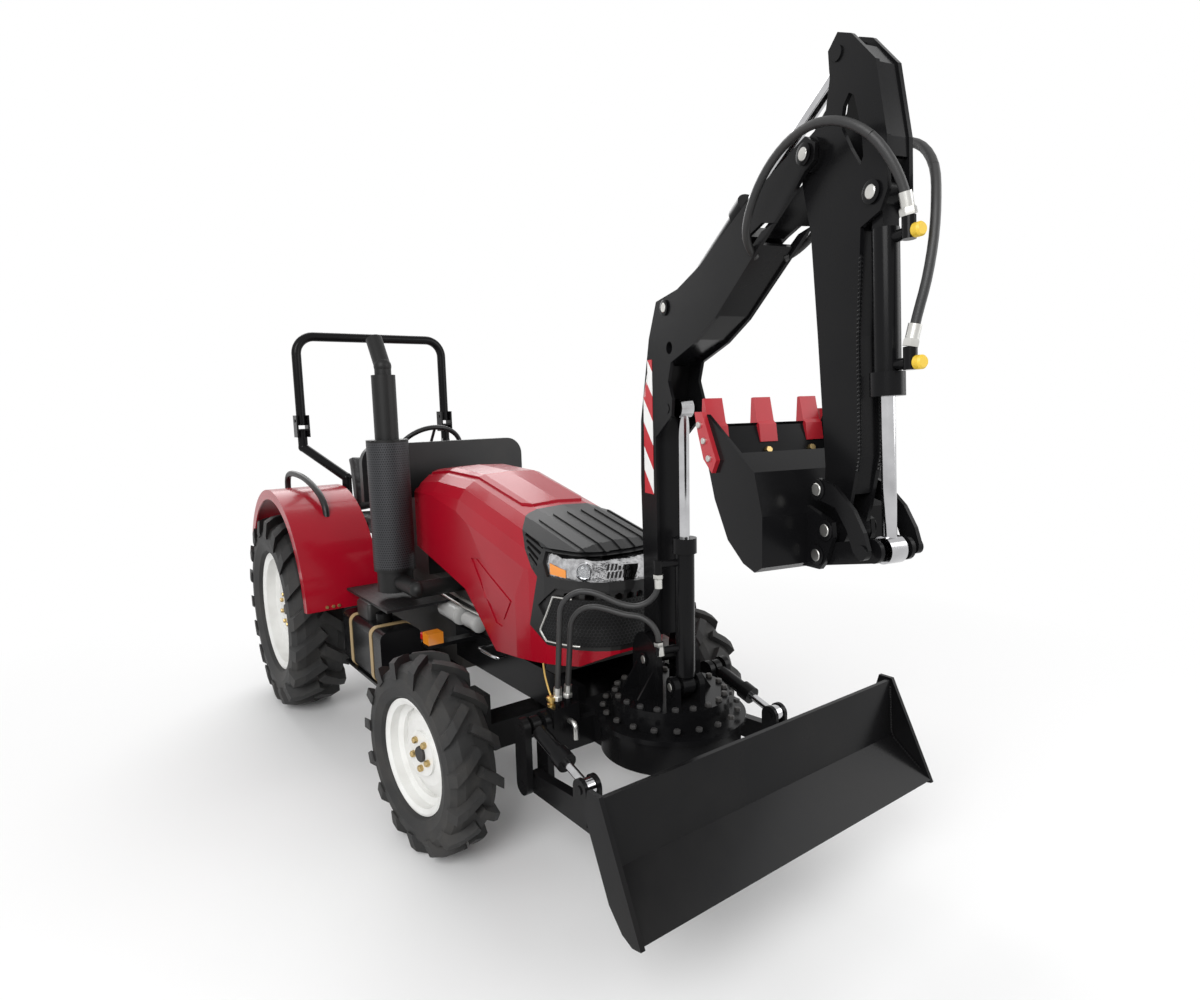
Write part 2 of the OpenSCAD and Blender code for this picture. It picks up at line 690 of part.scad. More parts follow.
module hood_slope(from, to, w, h) {
    d = to - from;
    translate([from[0], 0, from[1]]) rotate([0, -atan2(d[1], d[0]), 0]) rotate([90, 0, 90])
        linear_extrude(height = 4 * hood_l, center = true) polygon(scaled(arch_shares(), w, h));
}
nose_shares = [[0.655, 1.3], [0.655, 0.80], [0.80, 0.51], [0.765, 0.24], [0.83, 0.155], [1.1, 0.155],
    [1.1, 1.3]];
panel_shares = [[0.02, -0.30], [0.60, -0.27], [0.63, -0.22], [0.63, 0.22], [0.60, 0.27], [0.02, 0.30]];
recess_shares = [[0.44, 0.50], [0.50, 0.52], [0.69, 0.42], [0.70, 0.30], [0.62, 0.16], [0.585, 0.17]];
lamp_shares = [[0.815, 0.645], [0.835, 0.52], [1.1, 0.50], [1.1, 0.635]];
grille_shares = [[0.80, 0.36], [0.86, 0.465], [1.1, 0.465], [1.1, 0.20], [0.86, 0.19]];
rib_shares = [-0.30, -0.18, -0.06, 0.06, 0.18, 0.30];
panel_rise = 9;
recess_depth = 5;
set_back = 12;
rib_w = 14;
rib_rise = 14;
module hood_region(shares) {
    translate([front_x + hood_x, 0, hood_low]) across(scaled(shares, hood_l, hood_rise), 2 * hood_w);
}
module hood_shell() {
    difference() {
        hood_form(0);
        hood_form(hood_wall);
        translate([front_x + hood_x, 0, 0]) block([4 * hood_wall, hood_w - 6 * hood_wall, hood_rise],
            [0, 0, hood_top - hood_rise / 2 - 4 * hood_wall]);
    }
}
module hood() color(red) {
    difference() {
        hood_shell();
        hood_region(nose_shares);
        difference() {
            hood_region(recess_shares);
            hood_form(recess_depth);
        }
    }
    difference() {
        intersection() {
            hood_form(-panel_rise);
            translate([front_x + hood_x, 0, hood_low + hood_rise * half_share])
                linear_extrude(height = hood_rise) polygon(scaled(panel_shares, hood_l, hood_w));
        }
        hood_form(hood_wall / 2);
    }
    translate([front_x + hood_pin_x, 0, hood_pin_z]) cross_pin(hood_pin_r, hood_w * pin_span_share);
}
pin_span_share = 0.92;
louvre_shares = [[0.712, 0.715], [0.727, 0.686], [0.742, 0.657], [0.757, 0.628]];
louvre_end_share = 0.802;
louvre_fall_share = 0.05;
louvre_gap_share = 0.013;
module nose() color(black) {
    difference() {
        intersection() {
            hood_shell();
            hood_region(nose_shares);
        }
        hood_region(lamp_shares);
        hood_region(grille_shares);
        for (k = louvre_shares) hood_region([k, [louvre_end_share, k[1] - louvre_fall_share],
            [louvre_end_share, k[1] - louvre_fall_share - louvre_gap_share], [k[0],
                k[1] - louvre_gap_share]]);
    }
    difference() {
        intersection() {
            hood_form(-visor_rise);
            hood_region(visor_shares);
        }
        hood_form(hood_wall / 2);
    }
    difference() {
        intersection() {
            hood_form(-rib_rise);
            hood_region(rib_side_shares);
            for (k = rib_shares) translate([front_x + hood_x, k * hood_w - rib_w / 2,
                hood_low + hood_rise * half_share]) cube([2 * hood_l, rib_w, hood_rise]);
        }
        hood_form(hood_wall / 2);
    }
}
visor_shares = [[0.70, 1.3], [0.70, 0.775], [0.80, 0.665], [1.1, 0.655], [1.1, 1.3]];
visor_rise = 8;
rib_side_shares = [[0.72, 1.3], [0.72, 0.70], [0.96, 0.66], [0.96, 1.3]];
module set_back_band(shares) {
    difference() {
        intersection() {
            hood_form(set_back);
            hood_region(shares);
        }
        hood_form(set_back + hood_wall);
    }
}
mesh_r = 17;
mesh_pitch = 42;
module grille() color(dark) difference() {
    set_back_band(grille_shares);
    for (i = [-5 : 5], j = [0 : 3]) translate([front_x + hood_x + hood_l * half_share,
        (i + (j % 2) * half_share - half_share / 2) * mesh_pitch,
        hood_low + grille_shares[4][1] * hood_rise + (j + 1) * mesh_pitch])
        rotate([0, 90, 0]) cylinder(r = mesh_r, h = hood_l, $fn = 6);
}
module headlamps() color(steel) set_back_band(lamp_shares);

// digging arm: drawn straight ahead from the slew axis, then turned to its rest angle
module arm_place() {
    translate([slew_x, 0, 0]) rotate([0, 0, -slew_rest]) children();
}
foot_u = -25;
foot_z = 782;
tip_u = foot_u + boom_reach;
tip_z = foot_z + boom_rise;
plate_t = 10;
boss_r = 38;
// boom outline as shares of its reach and rise from the foot pin
boom_shares = [[-0.055, -0.035], [0.055, -0.035], [0.081, 0.0], [0.081, 0.54], [0.215, 0.590], [0.222,
    0.625], [0.190, 0.665], [0.215, 0.705],
    [0.394, 0.738], [0.53, 0.778], [0.853, 0.912], [0.953, 0.951], [1.0, 0.974], [1.04, 0.985], [1.044,
        1.010], [1.0, 1.027], [0.728, 0.970],
    [0.437, 0.888], [0.27, 0.855], [0.10, 0.842], [0.034, 0.765], [-0.05, 0.578], [-0.06, 0.435],
        [-0.05, 0.24]];
boom_core_shares = [[-0.045, 0.07], [0.07, 0.07], [0.075, 0.54], [0.085, 0.60], [0.12, 0.70], [0.39,
    0.745], [0.53, 0.783], [0.78, 0.888],
    [0.66, 0.935], [0.437, 0.875], [0.30, 0.83], [0.10, 0.76], [0.04, 0.755], [-0.045, 0.578], [-0.055,
        0.435], [-0.045, 0.24]];
boom_slot_shares = [[0.707, 0.903], [0.718, 0.886], [0.740, 0.886], [0.800, 0.908], [0.860, 0.914],
    [0.800, 0.922], [0.735, 0.910]];
boom_hole_r = 19;
boom_hole_u = 139;
boom_hole_z = 1828;
boom_rod_u = 119;
boom_rod_z = 1642;
boom_base_u = 112;
boom_base_z = 724;
dip_base_u = 115;
dip_base_z = 1952;
module boom() color(black) arm_place() {
    outline = [for (p = scaled(boom_shares, boom_reach, boom_rise)) p + [foot_u, foot_z]];
    core = [for (p = scaled(boom_core_shares, boom_reach, boom_rise)) p + [foot_u, foot_z]];
    difference() {
        union() {
            both_sides((boom_w - plate_t) / 2) across(outline, plate_t);
            across(core, boom_w - plate_t);
        }
        translate([foot_u, 0, foot_z]) cross_pin(pin_r + run_gap, 2 * boom_w);
        translate([tip_u, 0, tip_z]) cross_pin(pin_r, 2 * boom_w);
        translate([dip_base_u, 0, dip_base_z]) cross_pin(pin_r, 2 * boom_w);
        translate([boom_hole_u, 0, boom_hole_z]) cross_pin(boom_hole_r, 2 * boom_w);
        across([for (p = scaled(boom_slot_shares, boom_reach, boom_rise))
            p + [foot_u, foot_z]], 2 * boom_w);
    }
    translate([tip_u, 0, tip_z]) cross_pin(pin_r, boom_w + 2 * over);
    both_sides((boom_w - plate_t) / 2) translate([boom_rod_u, 0, boom_rod_z])
        cross_pin(pin_r, plate_t + over);
    translate([dip_base_u, 0, dip_base_z]) cross_pin(pin_r, boom_w + 2 * over);
}
turret_t = 20;
turret_plate_h = 25;
turret_ear_w = 190;
turret_z = drum_top + ring_h + clear;
module turret() color(black) arm_place() {
    translate([0, 0, turret_z]) cylinder(r = ring_r, h = turret_plate_h);
    both_sides((boom_w + turret_t) / 2 + side_gap) {
        block([turret_ear_w, turret_t, foot_z - turret_z], [foot_u, 0, (foot_z + turret_z) / 2]);
        translate([foot_u, 0, foot_z]) cross_pin(turret_ear_w / 2, turret_t);
    }
    translate([foot_u, 0, foot_z]) cross_pin(pin_r, boom_w + 2 * side_gap + 2 * turret_t + 2 * over);
    both_sides(clevis_y) {
        block([2 * clevis_r, turret_t, boom_base_z - turret_z], [boom_base_u, 0,
            (boom_base_z + turret_z) / 2]);
        translate([boom_base_u, 0, boom_base_z]) cross_pin(clevis_r, turret_t);
    }
    translate([boom_base_u, 0, boom_base_z]) cross_pin(pin_r, 2 * clevis_y + turret_t + over);
    for (m = [0, 1], k = gusset_shares) mirror([0, m, 0])
        translate([foot_u + k * turret_ear_w, 0, turret_z + turret_plate_h])
        rotate([90, 0, 90]) linear_extrude(height = gusset_t, center = true)
            polygon([[ear_face_y - over, -over], [ear_face_y + gusset_w, -over],
                [ear_face_y + gusset_w, 0],
                [ear_face_y, gusset_h], [ear_face_y - over, gusset_h]]);
}
ear_face_y = boom_w / 2 + side_gap + turret_t;
gusset_shares = [-0.32, 0.32];
gusset_h = 90;
gusset_t = 8;
gusset_w = 60;
clevis_r = 34;
clevis_y = 46;

// dipper outline as shares of the drop from the tip pin to the bucket pin
bucket_u = 869;
bucket_z = tip_z - dipper_drop;
dipper_shares = [[-0.045, 0.045], [0.0, 0.062], [0.045, 0.10], [0.058, 0.17], [0.05, 0.24], [0.085,
    0.272], [0.135, 0.248],
    [0.22, 0.155], [0.262, -0.03], [0.268, -0.155], [0.245, -0.20], [0.180, -0.225], [0.175, -0.49],
        [0.188, -0.80], [0.150, -0.97],
    [0.122, -1.040], [0.076, -1.040], [0.058, -0.99], [0.062, -0.83], [0.024, -0.48], [-0.01, -0.20],
        [-0.048, -0.06]];
dipper_core_shares = [[-0.03, -0.09], [0.05, -0.06], [0.16, -0.12], [0.168, -0.23], [0.163, -0.49],
    [0.178, -0.80], [0.16, -0.90], [0.09, -0.90], [0.075, -0.83],
    [0.036, -0.48], [0.002, -0.20]];
dipper_slot_shares = [[0.130, 0.111], [0.110, 0.086], [0.104, 0.055], [0.107, 0.030], [0.138, -0.023],
    [0.174, -0.076],
    [0.185, -0.057], [0.179, -0.012], [0.165, 0.045], [0.148, 0.099]];
dipper_strip_shares = [[0.160, 0.214], [0.215, 0.152], [0.257, -0.03], [0.260, -0.075], [0.245,
    -0.075], [0.242, -0.03],
    [0.202, 0.146], [0.150, 0.206]];
ear_u = 852;
ear_up = 185;
ear_z = tip_z + ear_up;
bcyl_u = 963;
bcyl_drop = 126;
bcyl_z = tip_z - bcyl_drop;
rock_u = 857;
rock_up = 93;
rock_z = bucket_z + rock_up;
dipper_plate_t = 10;
dipper_boss_w = boom_w - 2 * plate_t - 2 * side_gap;
rock_boss_w = 132;
module dipper() color(black) arm_place() {
    outline = [for (p = scaled(dipper_shares, dipper_drop, dipper_drop)) p + [tip_u, tip_z]];
    core = [for (p = scaled(dipper_core_shares, dipper_drop, dipper_drop)) p + [tip_u, tip_z]];
    slot = [for (p = scaled(dipper_slot_shares, dipper_drop, dipper_drop)) p + [tip_u, tip_z]];
    strip = [for (p = scaled(dipper_strip_shares, dipper_drop, dipper_drop)) p + [tip_u, tip_z]];
    difference() {
        union() {
            both_sides((dipper_w - dipper_plate_t) / 2) across(outline, dipper_plate_t);
            across(core, dipper_w - dipper_plate_t);
            across(strip, dipper_w - dipper_plate_t);
            translate([tip_u, 0, tip_z]) cross_pin(boss_r, dipper_boss_w);
            translate([rock_u, 0, rock_z]) cross_pin(pin_r, rock_boss_w + 2 * rock_t + over);
            translate([bucket_u, 0, bucket_z]) cross_pin(boss_r, dipper_w);
        }
        across(slot, 2 * dipper_w);
        translate([tip_u, 0, tip_z]) cross_pin(pin_r + run_gap, 2 * boom_w);
        translate([bucket_u, 0, bucket_z]) cross_pin(pin_r + run_gap, 2 * boom_w);
    }
    both_sides((dipper_w - dipper_plate_t + over) / 2) translate([ear_u, 0, ear_z])
        cross_pin(pin_r, dipper_plate_t + over);
    translate([bcyl_u, 0, bcyl_z]) cross_pin(pin_r, dipper_w + 2 * over);
}
rock_t = 10;

// bucket outline as shares of its length from the bucket pin to the lip
bucket_l = 330;
bucket_shares = [[-0.985, 0.667], [-0.80, 0.16], [-0.62, -0.13], [-0.42, -0.27], [-0.28, -0.31],
    [-0.19, -0.26],
    [-0.19, 0.10], [-0.285, 0.40], [-0.90, 0.80]];
bucket_in_shares = [[-0.96, 0.70], [-0.765, 0.18], [-0.595, -0.10], [-0.41, -0.23], [-0.285, -0.268],
    [-0.22, -0.235],
    [-0.22, 0.10], [-0.318, 0.41], [-0.90, 0.83]];
bucket_ear_shares = [[-0.28, -0.29], [-0.06, -0.285], [0.0, -0.22], [0.075, -0.04], [0.06, 0.06],
    [-0.02, 0.09],
    [-0.205, 0.15], [-0.205, -0.23]];
bucket_plate_t = 10;
bucket_ear_t = 12;
bucket_ear_y = 56;
crank_back = 29;
crank_drop = 62;
crank_u = bucket_u - crank_back;
crank_z = bucket_z - crank_drop;
module bucket_shell() {
    outline = [for (p = scaled(bucket_shares, bucket_l, bucket_l)) p + [bucket_u, bucket_z]];
    inside = [for (p = scaled(bucket_in_shares, bucket_l, bucket_l)) p + [bucket_u, bucket_z]];
    difference() {
        across(outline, bucket_w);
        across(inside, bucket_w - 2 * bucket_plate_t);
    }
}
module bucket() color(black) arm_place() {
    bucket_shell();
    both_sides(bucket_ear_y) across([for (p = scaled(bucket_ear_shares, bucket_l, bucket_l))
        p + [bucket_u, bucket_z]],
        bucket_ear_t);
    translate([bucket_u, 0, bucket_z]) cross_pin(pin_r, 2 * bucket_ear_y + bucket_ear_t + over);
    translate([crank_u, 0, crank_z]) cross_pin(pin_r, 2 * bucket_ear_y + bucket_ear_t + over);
}
tooth_l = 128;
tooth_w = 54;
tooth_t = 44;
tooth_side = 150;
// tooth profile as shares of its thickness and length: shank astride the lip, then a wedge to the point
tooth_shares = [[-0.5, 0], [0.5, 0.06], [0.5, 0.42], [0.30, 0.50], [0.16, 1], [-0.05, 1], [-0.42,
    0.46], [-0.5, 0.38]];
tooth_seat_share = 0.34;
module bucket_teeth() color(red) arm_place() {
    lip_u = bucket_u + bucket_shares[0][0] * bucket_l;
    lip_z = bucket_z + bucket_shares[0][1] * bucket_l;
    difference() {
        for (y = [-tooth_side, 0, tooth_side]) translate([lip_u, y, lip_z]) rotate([0, tooth_lean, 0])
            translate([0, 0, -tooth_seat_share * tooth_l])
                across(scaled(tooth_shares, tooth_t, tooth_l), tooth_w);
        bucket_shell();
    }
    both_sides((bucket_w + cutter_t) / 2)
        across([for (p = scaled(cutter_shares, bucket_l, bucket_l)) p + [bucket_u, bucket_z]], cutter_t);
}
cutter_t = 12;
cutter_shares = [[-1.03, 0.82], [-0.92, 0.82], [-0.72, 0.46], [-0.78, 0.36], [-0.90, 0.46], [-0.985,
    0.667]];
tooth_lean = -10;

// bucket linkage: rocker plates on the dipper and link plates to the bucket meet at the rod pin
joint_u = 1000;
joint_drop = 28;
joint_z = bucket_z - joint_drop;
link_plate_t = 10;
link_plate_y = 43;
rock_y = (rock_boss_w + rock_t) / 2;
rocker_shares = [[-0.16, 0.10], [0.02, 0.18], [0.40, 0.07], [0.80, -0.24], [1.02, -0.55], [1.12, -0.80],
    [0.95, -0.98], [0.80, -0.86], [0.66, -0.55], [0.40, -0.24], [0.02, -0.16], [-0.15, -0.08]];
module rocker() color(black) arm_place() {
    span = joint_u - rock_u;
    outline = [for (p = scaled(rocker_shares, span, span)) p + [rock_u, rock_z]];
    difference() {
        both_sides(rock_y) across(outline, rock_t);
        translate([rock_u, 0, rock_z]) cross_pin(pin_r + run_gap, 2 * boom_w);
    }
    both_sides(rock_y + over / 2) translate([joint_u, 0, joint_z]) cross_pin(pin_r, rock_t + over);
}
module bucket_link() color(black) arm_place() {
    difference() {
        both_sides(link_plate_y) {
            across([[crank_u, crank_z - link_half], [joint_u, joint_z - link_half], [joint_u,
                joint_z + link_half], [crank_u, crank_z + link_half]], link_plate_t);
            translate([crank_u, 0, crank_z]) cross_pin(link_half, link_plate_t);
            translate([joint_u, 0, joint_z]) cross_pin(link_half, link_plate_t);
        }
        translate([crank_u, 0, crank_z]) cross_pin(pin_r + run_gap, 2 * boom_w);
    }
}
link_half = 26;

// cylinders: barrel from its base pin, rod to its eye
module barrel_from(a, b, r, neck, l, eye_w, hole_r) {
    d = b - a;
    translate([a[0], 0, a[1]]) rotate([0, 90 - atan2(d[1], d[0]), 0]) difference() {
        union() {
            translate([0, 0, neck]) cylinder(r = r, h = l);
            translate([0, 0, neck + l - gland_h]) cylinder(r = r + gland_t, h = gland_h);
            cross_pin(eye_r, eye_w);
            translate([0, 0, (neck + over) / 2]) cube([eye_r, eye_w, neck + over], center = true);
        }
        translate([0, 0, neck + eye_r]) cylinder(r = r * rod_share + clear, h = l + eye_r);
        cross_pin(hole_r, 2 * eye_w);
    }
}
module rod_to(a, b, r, l, eye_w) {
    d = b - a;
    translate([b[0], 0, b[1]]) rotate([0, 90 - atan2(d[1], d[0]), 0]) {
        translate([0, 0, -l - eye_r]) cylinder(r = r * rod_share, h = l + eye_r);
        cross_pin(eye_r, eye_w);
    }
}
eye_r = 30;
gland_h = 50;
gland_t = 8;
rod_share = 0.55;
boom_cyl_r = 32;
boom_neck = 34;
boom_barrel_l = 466;
boom_rod_l = 500;
dip_cyl_r = 30;
dip_neck = 40;
dip_barrel_l = 390;
dip_rod_l = 480;
buck_cyl_r = 28;
buck_neck = 72;
buck_barrel_l = 343;
buck_rod_l = 420;
cyl_eye_w = 44;
boom_a = [boom_base_u, boom_base_z];
boom_b = [boom_rod_u, boom_rod_z];
dip_a = [dip_base_u, dip_base_z];
dip_b = [ear_u, ear_z];
buck_a = [bcyl_u, bcyl_z];
buck_b = [joint_u, joint_z];
// hose port: a stub square to the barrel, then an elbow along it
port_r = 12;
elbow_r = 14;
elbow_l = 46;
port_seat_share = 0.8;
module port(a, b, r, along, turn, reach, way) {
    d = b - a;
    translate([a[0], 0, a[1]]) rotate([0, 90 - atan2(d[1], d[0]), 0]) translate([0, 0, along])
        rotate([0, 0, turn]) {
        translate([r * port_seat_share, 0, 0]) rotate([0, 90, 0])
            cylinder(r = port_r, h = reach - r * port_seat_share);
        translate([reach, 0, way > 0 ? -elbow_r : elbow_r - elbow_l]) cylinder(r = elbow_r, h = elbow_l);
    }
}
boom_port_low = 132;
boom_port_top = 420;
boom_port_reach = 98;
module boom_barrel() color(black) arm_place() {
    barrel_from(boom_a, boom_b, boom_cyl_r, boom_neck, boom_barrel_l, cyl_eye_w, pin_r + run_gap);
    port(boom_a, boom_b, boom_cyl_r, boom_port_low, -90, boom_port_reach, 1);
    port(boom_a, boom_b, boom_cyl_r, boom_port_top, -90, boom_port_reach, -1);
}
module boom_rod() color(steel) arm_place()
    rod_to(boom_a, boom_b, boom_cyl_r, boom_rod_l, cyl_eye_w);
module dipper_barrel() color(black) arm_place()
    barrel_from(dip_a, dip_b, dip_cyl_r, dip_neck, dip_barrel_l, cyl_eye_w, pin_r + run_gap);
module dipper_rod() color(steel) arm_place()
    rod_to(dip_a, dip_b, dip_cyl_r, dip_rod_l, cyl_eye_w);
buck_port_low = 352;
buck_port_top = 94;
buck_port_reach = 62;
module bucket_barrel() color(black) arm_place() {
    barrel_from(buck_a, buck_b, buck_cyl_r, buck_neck, buck_barrel_l, cyl_eye_w, pin_r + run_gap);
    for (along = [buck_port_low, buck_port_top])
        port(buck_a, buck_b, buck_cyl_r, along, 180, buck_port_reach, -1);
}
module bucket_rod() color(steel) arm_place()
    rod_to(buck_a, buck_b, buck_cyl_r, buck_rod_l, cyl_eye_w);

// dozer blade with its push arms, drawn from the front axle
blade_edge_x = 1300;
blade_run = 156;
mould_t = 14;
// mouldboard outline as shares of the blade's run back from the edge and its rise
mould_shares = [[0, 0], [-0.93, 0.36], [-1, 1], [-1.09, 1], [-1.02, 0.33], [-0.09, -0.02]];
end_shares = [[0.02, -0.03], [-0.985, 1.02], [-1.30, 1.02], [-1.42, 0.80], [-0.78, 0.14], [-0.45,
    -0.02], [-0.2, -0.06]];
push_h = 70;
push_shares = [[-0.06, 0.0], [-0.97, 0.345]];
push_t = 36;
ear_in = 70;
blade_ear_x = 792;
blade_ear_z = 495;
module blade() color(black) translate([front_x, 0, 0]) {
    translate([blade_edge_x, 0, blade_lift]) {
        across(scaled(mould_shares, blade_run, blade_h), blade_w - 2 * mould_t);
        both_sides((blade_w - mould_t) / 2) across(scaled(end_shares, blade_run, blade_h), mould_t);
    }
    both_sides(bracket_y) difference() {
        union() {
            across([[bracket_x, bracket_low_z - push_h / 2],
                [blade_edge_x + push_shares[0][0] * blade_run, blade_lift + push_shares[0][1] * blade_h],
                [blade_edge_x + push_shares[1][0] * blade_run,
                    blade_lift + push_shares[1][1] * blade_h], [bracket_x,
                    bracket_low_z + push_h / 2]], push_t);
            translate([bracket_x, 0, bracket_low_z]) cross_pin(push_h / 2, bracket_gap - 2 * side_gap);
            both_sides((ear_slot + ear_t) / 2) {
                block([ear_in, ear_t, blade_ear_z - bracket_low_z], [blade_ear_x, 0,
                    (blade_ear_z + bracket_low_z) / 2]);
                translate([blade_ear_x, 0, blade_ear_z]) cross_pin(ear_in / 2, ear_t);
            }
        }
        translate([bracket_x, 0, bracket_low_z]) cross_pin(blade_pin_r + run_gap, 2 * bracket_gap);
    }
    both_sides(bracket_y) both_sides((ear_slot + ear_t + over) / 2)
        translate([blade_ear_x, 0, blade_ear_z])
        cross_pin(blade_pin_r, ear_t + over);
}
ear_slot = 34;
ear_t = 14;
blade_a = [bracket_x, bracket_up_z];
blade_b = [blade_ear_x, blade_ear_z];
blade_cyl_r = 26;
blade_neck = 40;
blade_barrel_l = 170;
blade_rod_l = 205;
blade_eye_w = 30;
module blade_barrels() color(black) translate([front_x, 0, 0]) both_sides(bracket_y)
    barrel_from(blade_a, blade_b, blade_cyl_r, blade_neck, blade_barrel_l, blade_eye_w,
        blade_pin_r + run_gap);
module blade_rods() color(steel) translate([front_x, 0, 0]) both_sides(bracket_y)
    rod_to(blade_a, blade_b, blade_cyl_r, blade_rod_l, blade_eye_w);

chassis();
engine();
transmission();
front_axle();
fenders();
floor();
dash();
seat();
rops_posts();
rops_bar();
exhaust();
tank();
side_lamp();
hitch();
slew_base();
hood();
nose();
grille();
headlamps();
knuckle_left();
knuckle_right();
front_rim_left();
front_rim_right();
front_tyre_left();
front_tyre_right();
rear_rim_left();
rear_rim_right();
rear_tyre_left();
rear_tyre_right();
turret();
boom();
dipper();
bucket();
bucket_teeth();
rocker();
bucket_link();
boom_barrel();
boom_rod();
dipper_barrel();
dipper_rod();
bucket_barrel();
bucket_rod();
blade();
blade_barrels();
blade_rods();
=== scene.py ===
import json
import math

import bpy
import numpy as np
from mathutils import Matrix, Vector
from mathutils.bvhtree import BVHTree


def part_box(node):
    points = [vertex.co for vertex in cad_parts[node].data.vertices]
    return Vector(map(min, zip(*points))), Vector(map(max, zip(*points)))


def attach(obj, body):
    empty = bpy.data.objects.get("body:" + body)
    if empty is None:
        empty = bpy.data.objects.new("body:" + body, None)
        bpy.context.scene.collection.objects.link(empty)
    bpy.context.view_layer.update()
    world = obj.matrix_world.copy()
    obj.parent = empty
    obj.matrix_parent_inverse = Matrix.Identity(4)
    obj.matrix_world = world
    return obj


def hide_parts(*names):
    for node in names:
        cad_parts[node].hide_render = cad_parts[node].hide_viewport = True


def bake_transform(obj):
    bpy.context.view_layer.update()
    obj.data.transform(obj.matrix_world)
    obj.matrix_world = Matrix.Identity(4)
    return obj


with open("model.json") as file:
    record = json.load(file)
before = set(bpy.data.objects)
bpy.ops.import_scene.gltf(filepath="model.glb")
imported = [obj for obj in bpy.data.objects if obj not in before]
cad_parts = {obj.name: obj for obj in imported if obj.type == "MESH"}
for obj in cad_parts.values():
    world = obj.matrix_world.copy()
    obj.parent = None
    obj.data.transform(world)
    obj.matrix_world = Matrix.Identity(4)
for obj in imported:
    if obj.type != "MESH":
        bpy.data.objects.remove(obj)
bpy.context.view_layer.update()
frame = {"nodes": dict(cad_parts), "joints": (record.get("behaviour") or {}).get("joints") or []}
nodes = frame["nodes"]
joints = {j["name"]: j for j in frame["joints"]}
print("frame loaded:", len(nodes), "nodes")


class Wire:
    # wraps one socket of a material, so that shader maths reads as plain sums
    def __init__(self, tree, socket):
        self.tree = tree
        self.socket = socket

    def add(self, kind, settings=None, sockets=None, out=0):
        # any other node: its type, its settings first, then the values or links of its sockets
        node = self.tree.nodes.new(kind)
        for key, value in (settings or {}).items():
            setattr(node, key, value)
        for key, value in (sockets or {}).items():
            if isinstance(value, Wire):
                self.tree.links.new(value.socket, node.inputs[key])
            else:
                node.inputs[key].default_value = value
        return Wire(self.tree, node.outputs[out])

    def calc(self, operation, *terms):
        return self.add("ShaderNodeMath", {"operation": operation}, dict(enumerate(terms)))

    def __add__(self, other):
        return self.calc("ADD", self, other)

    def __sub__(self, other):
        return self.calc("SUBTRACT", self, other)

    def __rsub__(self, other):
        return self.calc("SUBTRACT", other, self)

    def __mul__(self, other):
        return self.calc("MULTIPLY", self, other)

    def __truediv__(self, other):
        return self.calc("DIVIDE", self, other)

    def __gt__(self, other):
        return self.calc("GREATER_THAN", self, other)

    def __lt__(self, other):
        return self.calc("LESS_THAN", self, other)

    __radd__ = __add__
    __rmul__ = __mul__

    def limited(self):
        return self.add("ShaderNodeClamp", None, {0: self})

    def part(self, axis):
        return self.add("ShaderNodeSeparateXYZ", None, {0: self}, "XYZ".index(axis))

    def noise(self, scale, detail=3.0, rough=0.5):
        return self.add("ShaderNodeTexNoise", None,
                        {"Vector": self, "Scale": scale, "Detail": detail, "Roughness": rough})

    def mixed(self, first, second):
        # this value shades from the first colour to the second
        first, second = ((*c, 1) if isinstance(c, tuple) else c for c in (first, second))
        return self.add("ShaderNodeMix", {"data_type": "RGBA"}, {0: self, 6: first, 7: second}, 2)

    def bumped(self, depth, strength=1.0):
        return self.add("ShaderNodeBump", None, {"Height": self, "Distance": depth, "Strength": strength})


def startFinish(name, fixed):
    # an empty finish: its shader with the constant values set, and the object coordinates
    material = bpy.data.materials.new(name)
    material.use_nodes = True
    tree = material.node_tree
    shader = tree.nodes["Principled BSDF"]
    for key, value in fixed.items():
        shader.inputs[key].default_value = value
    coords = Wire(tree, tree.nodes.new("ShaderNodeTexCoord").outputs["Object"])
    return material, shader, coords


def feed(shader, sockets):
    for key, value in sockets.items():
        value.tree.links.new(value.socket, shader.inputs[key])


dustShade = (0.26, 0.23, 0.19)


def makeCoated(name, look):
    # paint, plastic or bare metal: a shade with faint cloudy change, dust that gathers low, and a fine skin;
    # for the chrome looks the cloudy change between the two shades is painted reflection
    material, shader, coords = startFinish(name, {"Metallic": look.get("metallic", 0.0),
                                                  "Specular IOR Level": look.get("specular", 0.5),
                                                  "Coat Weight": look.get("coat", 0.0),
                                                  "Coat Roughness": 0.08})
    cloud = coords.noise(look.get("cloudScale", 4.0), 5.0)
    speck = coords.noise(look.get("skinScale", 240.0), 2.0)
    low = (1.0 - coords.part("Z")).limited()
    dust = ((cloud - 0.42) * 3.0).limited() * (low * look.get("dustLow", 0.2) + look.get("dust", 0.03))
    # random tone for paint and plastic; for the chrome looks this mix of the two shades is painted reflection
    toneAndPaintedReflection = cloud.mixed(look["shade"], look.get("shadeTwo", look["shade"]))
    feed(shader, {"Base Color": dust.mixed(toneAndPaintedReflection, dustShade),
                  "Roughness": (cloud * look.get("roughSpread", 0.1) + dust * 0.5 + look["rough"]).limited(),
                  "Normal": speck.bumped(look.get("skinDepth", 0.0004), look.get("skin", 0.06))})
    return material


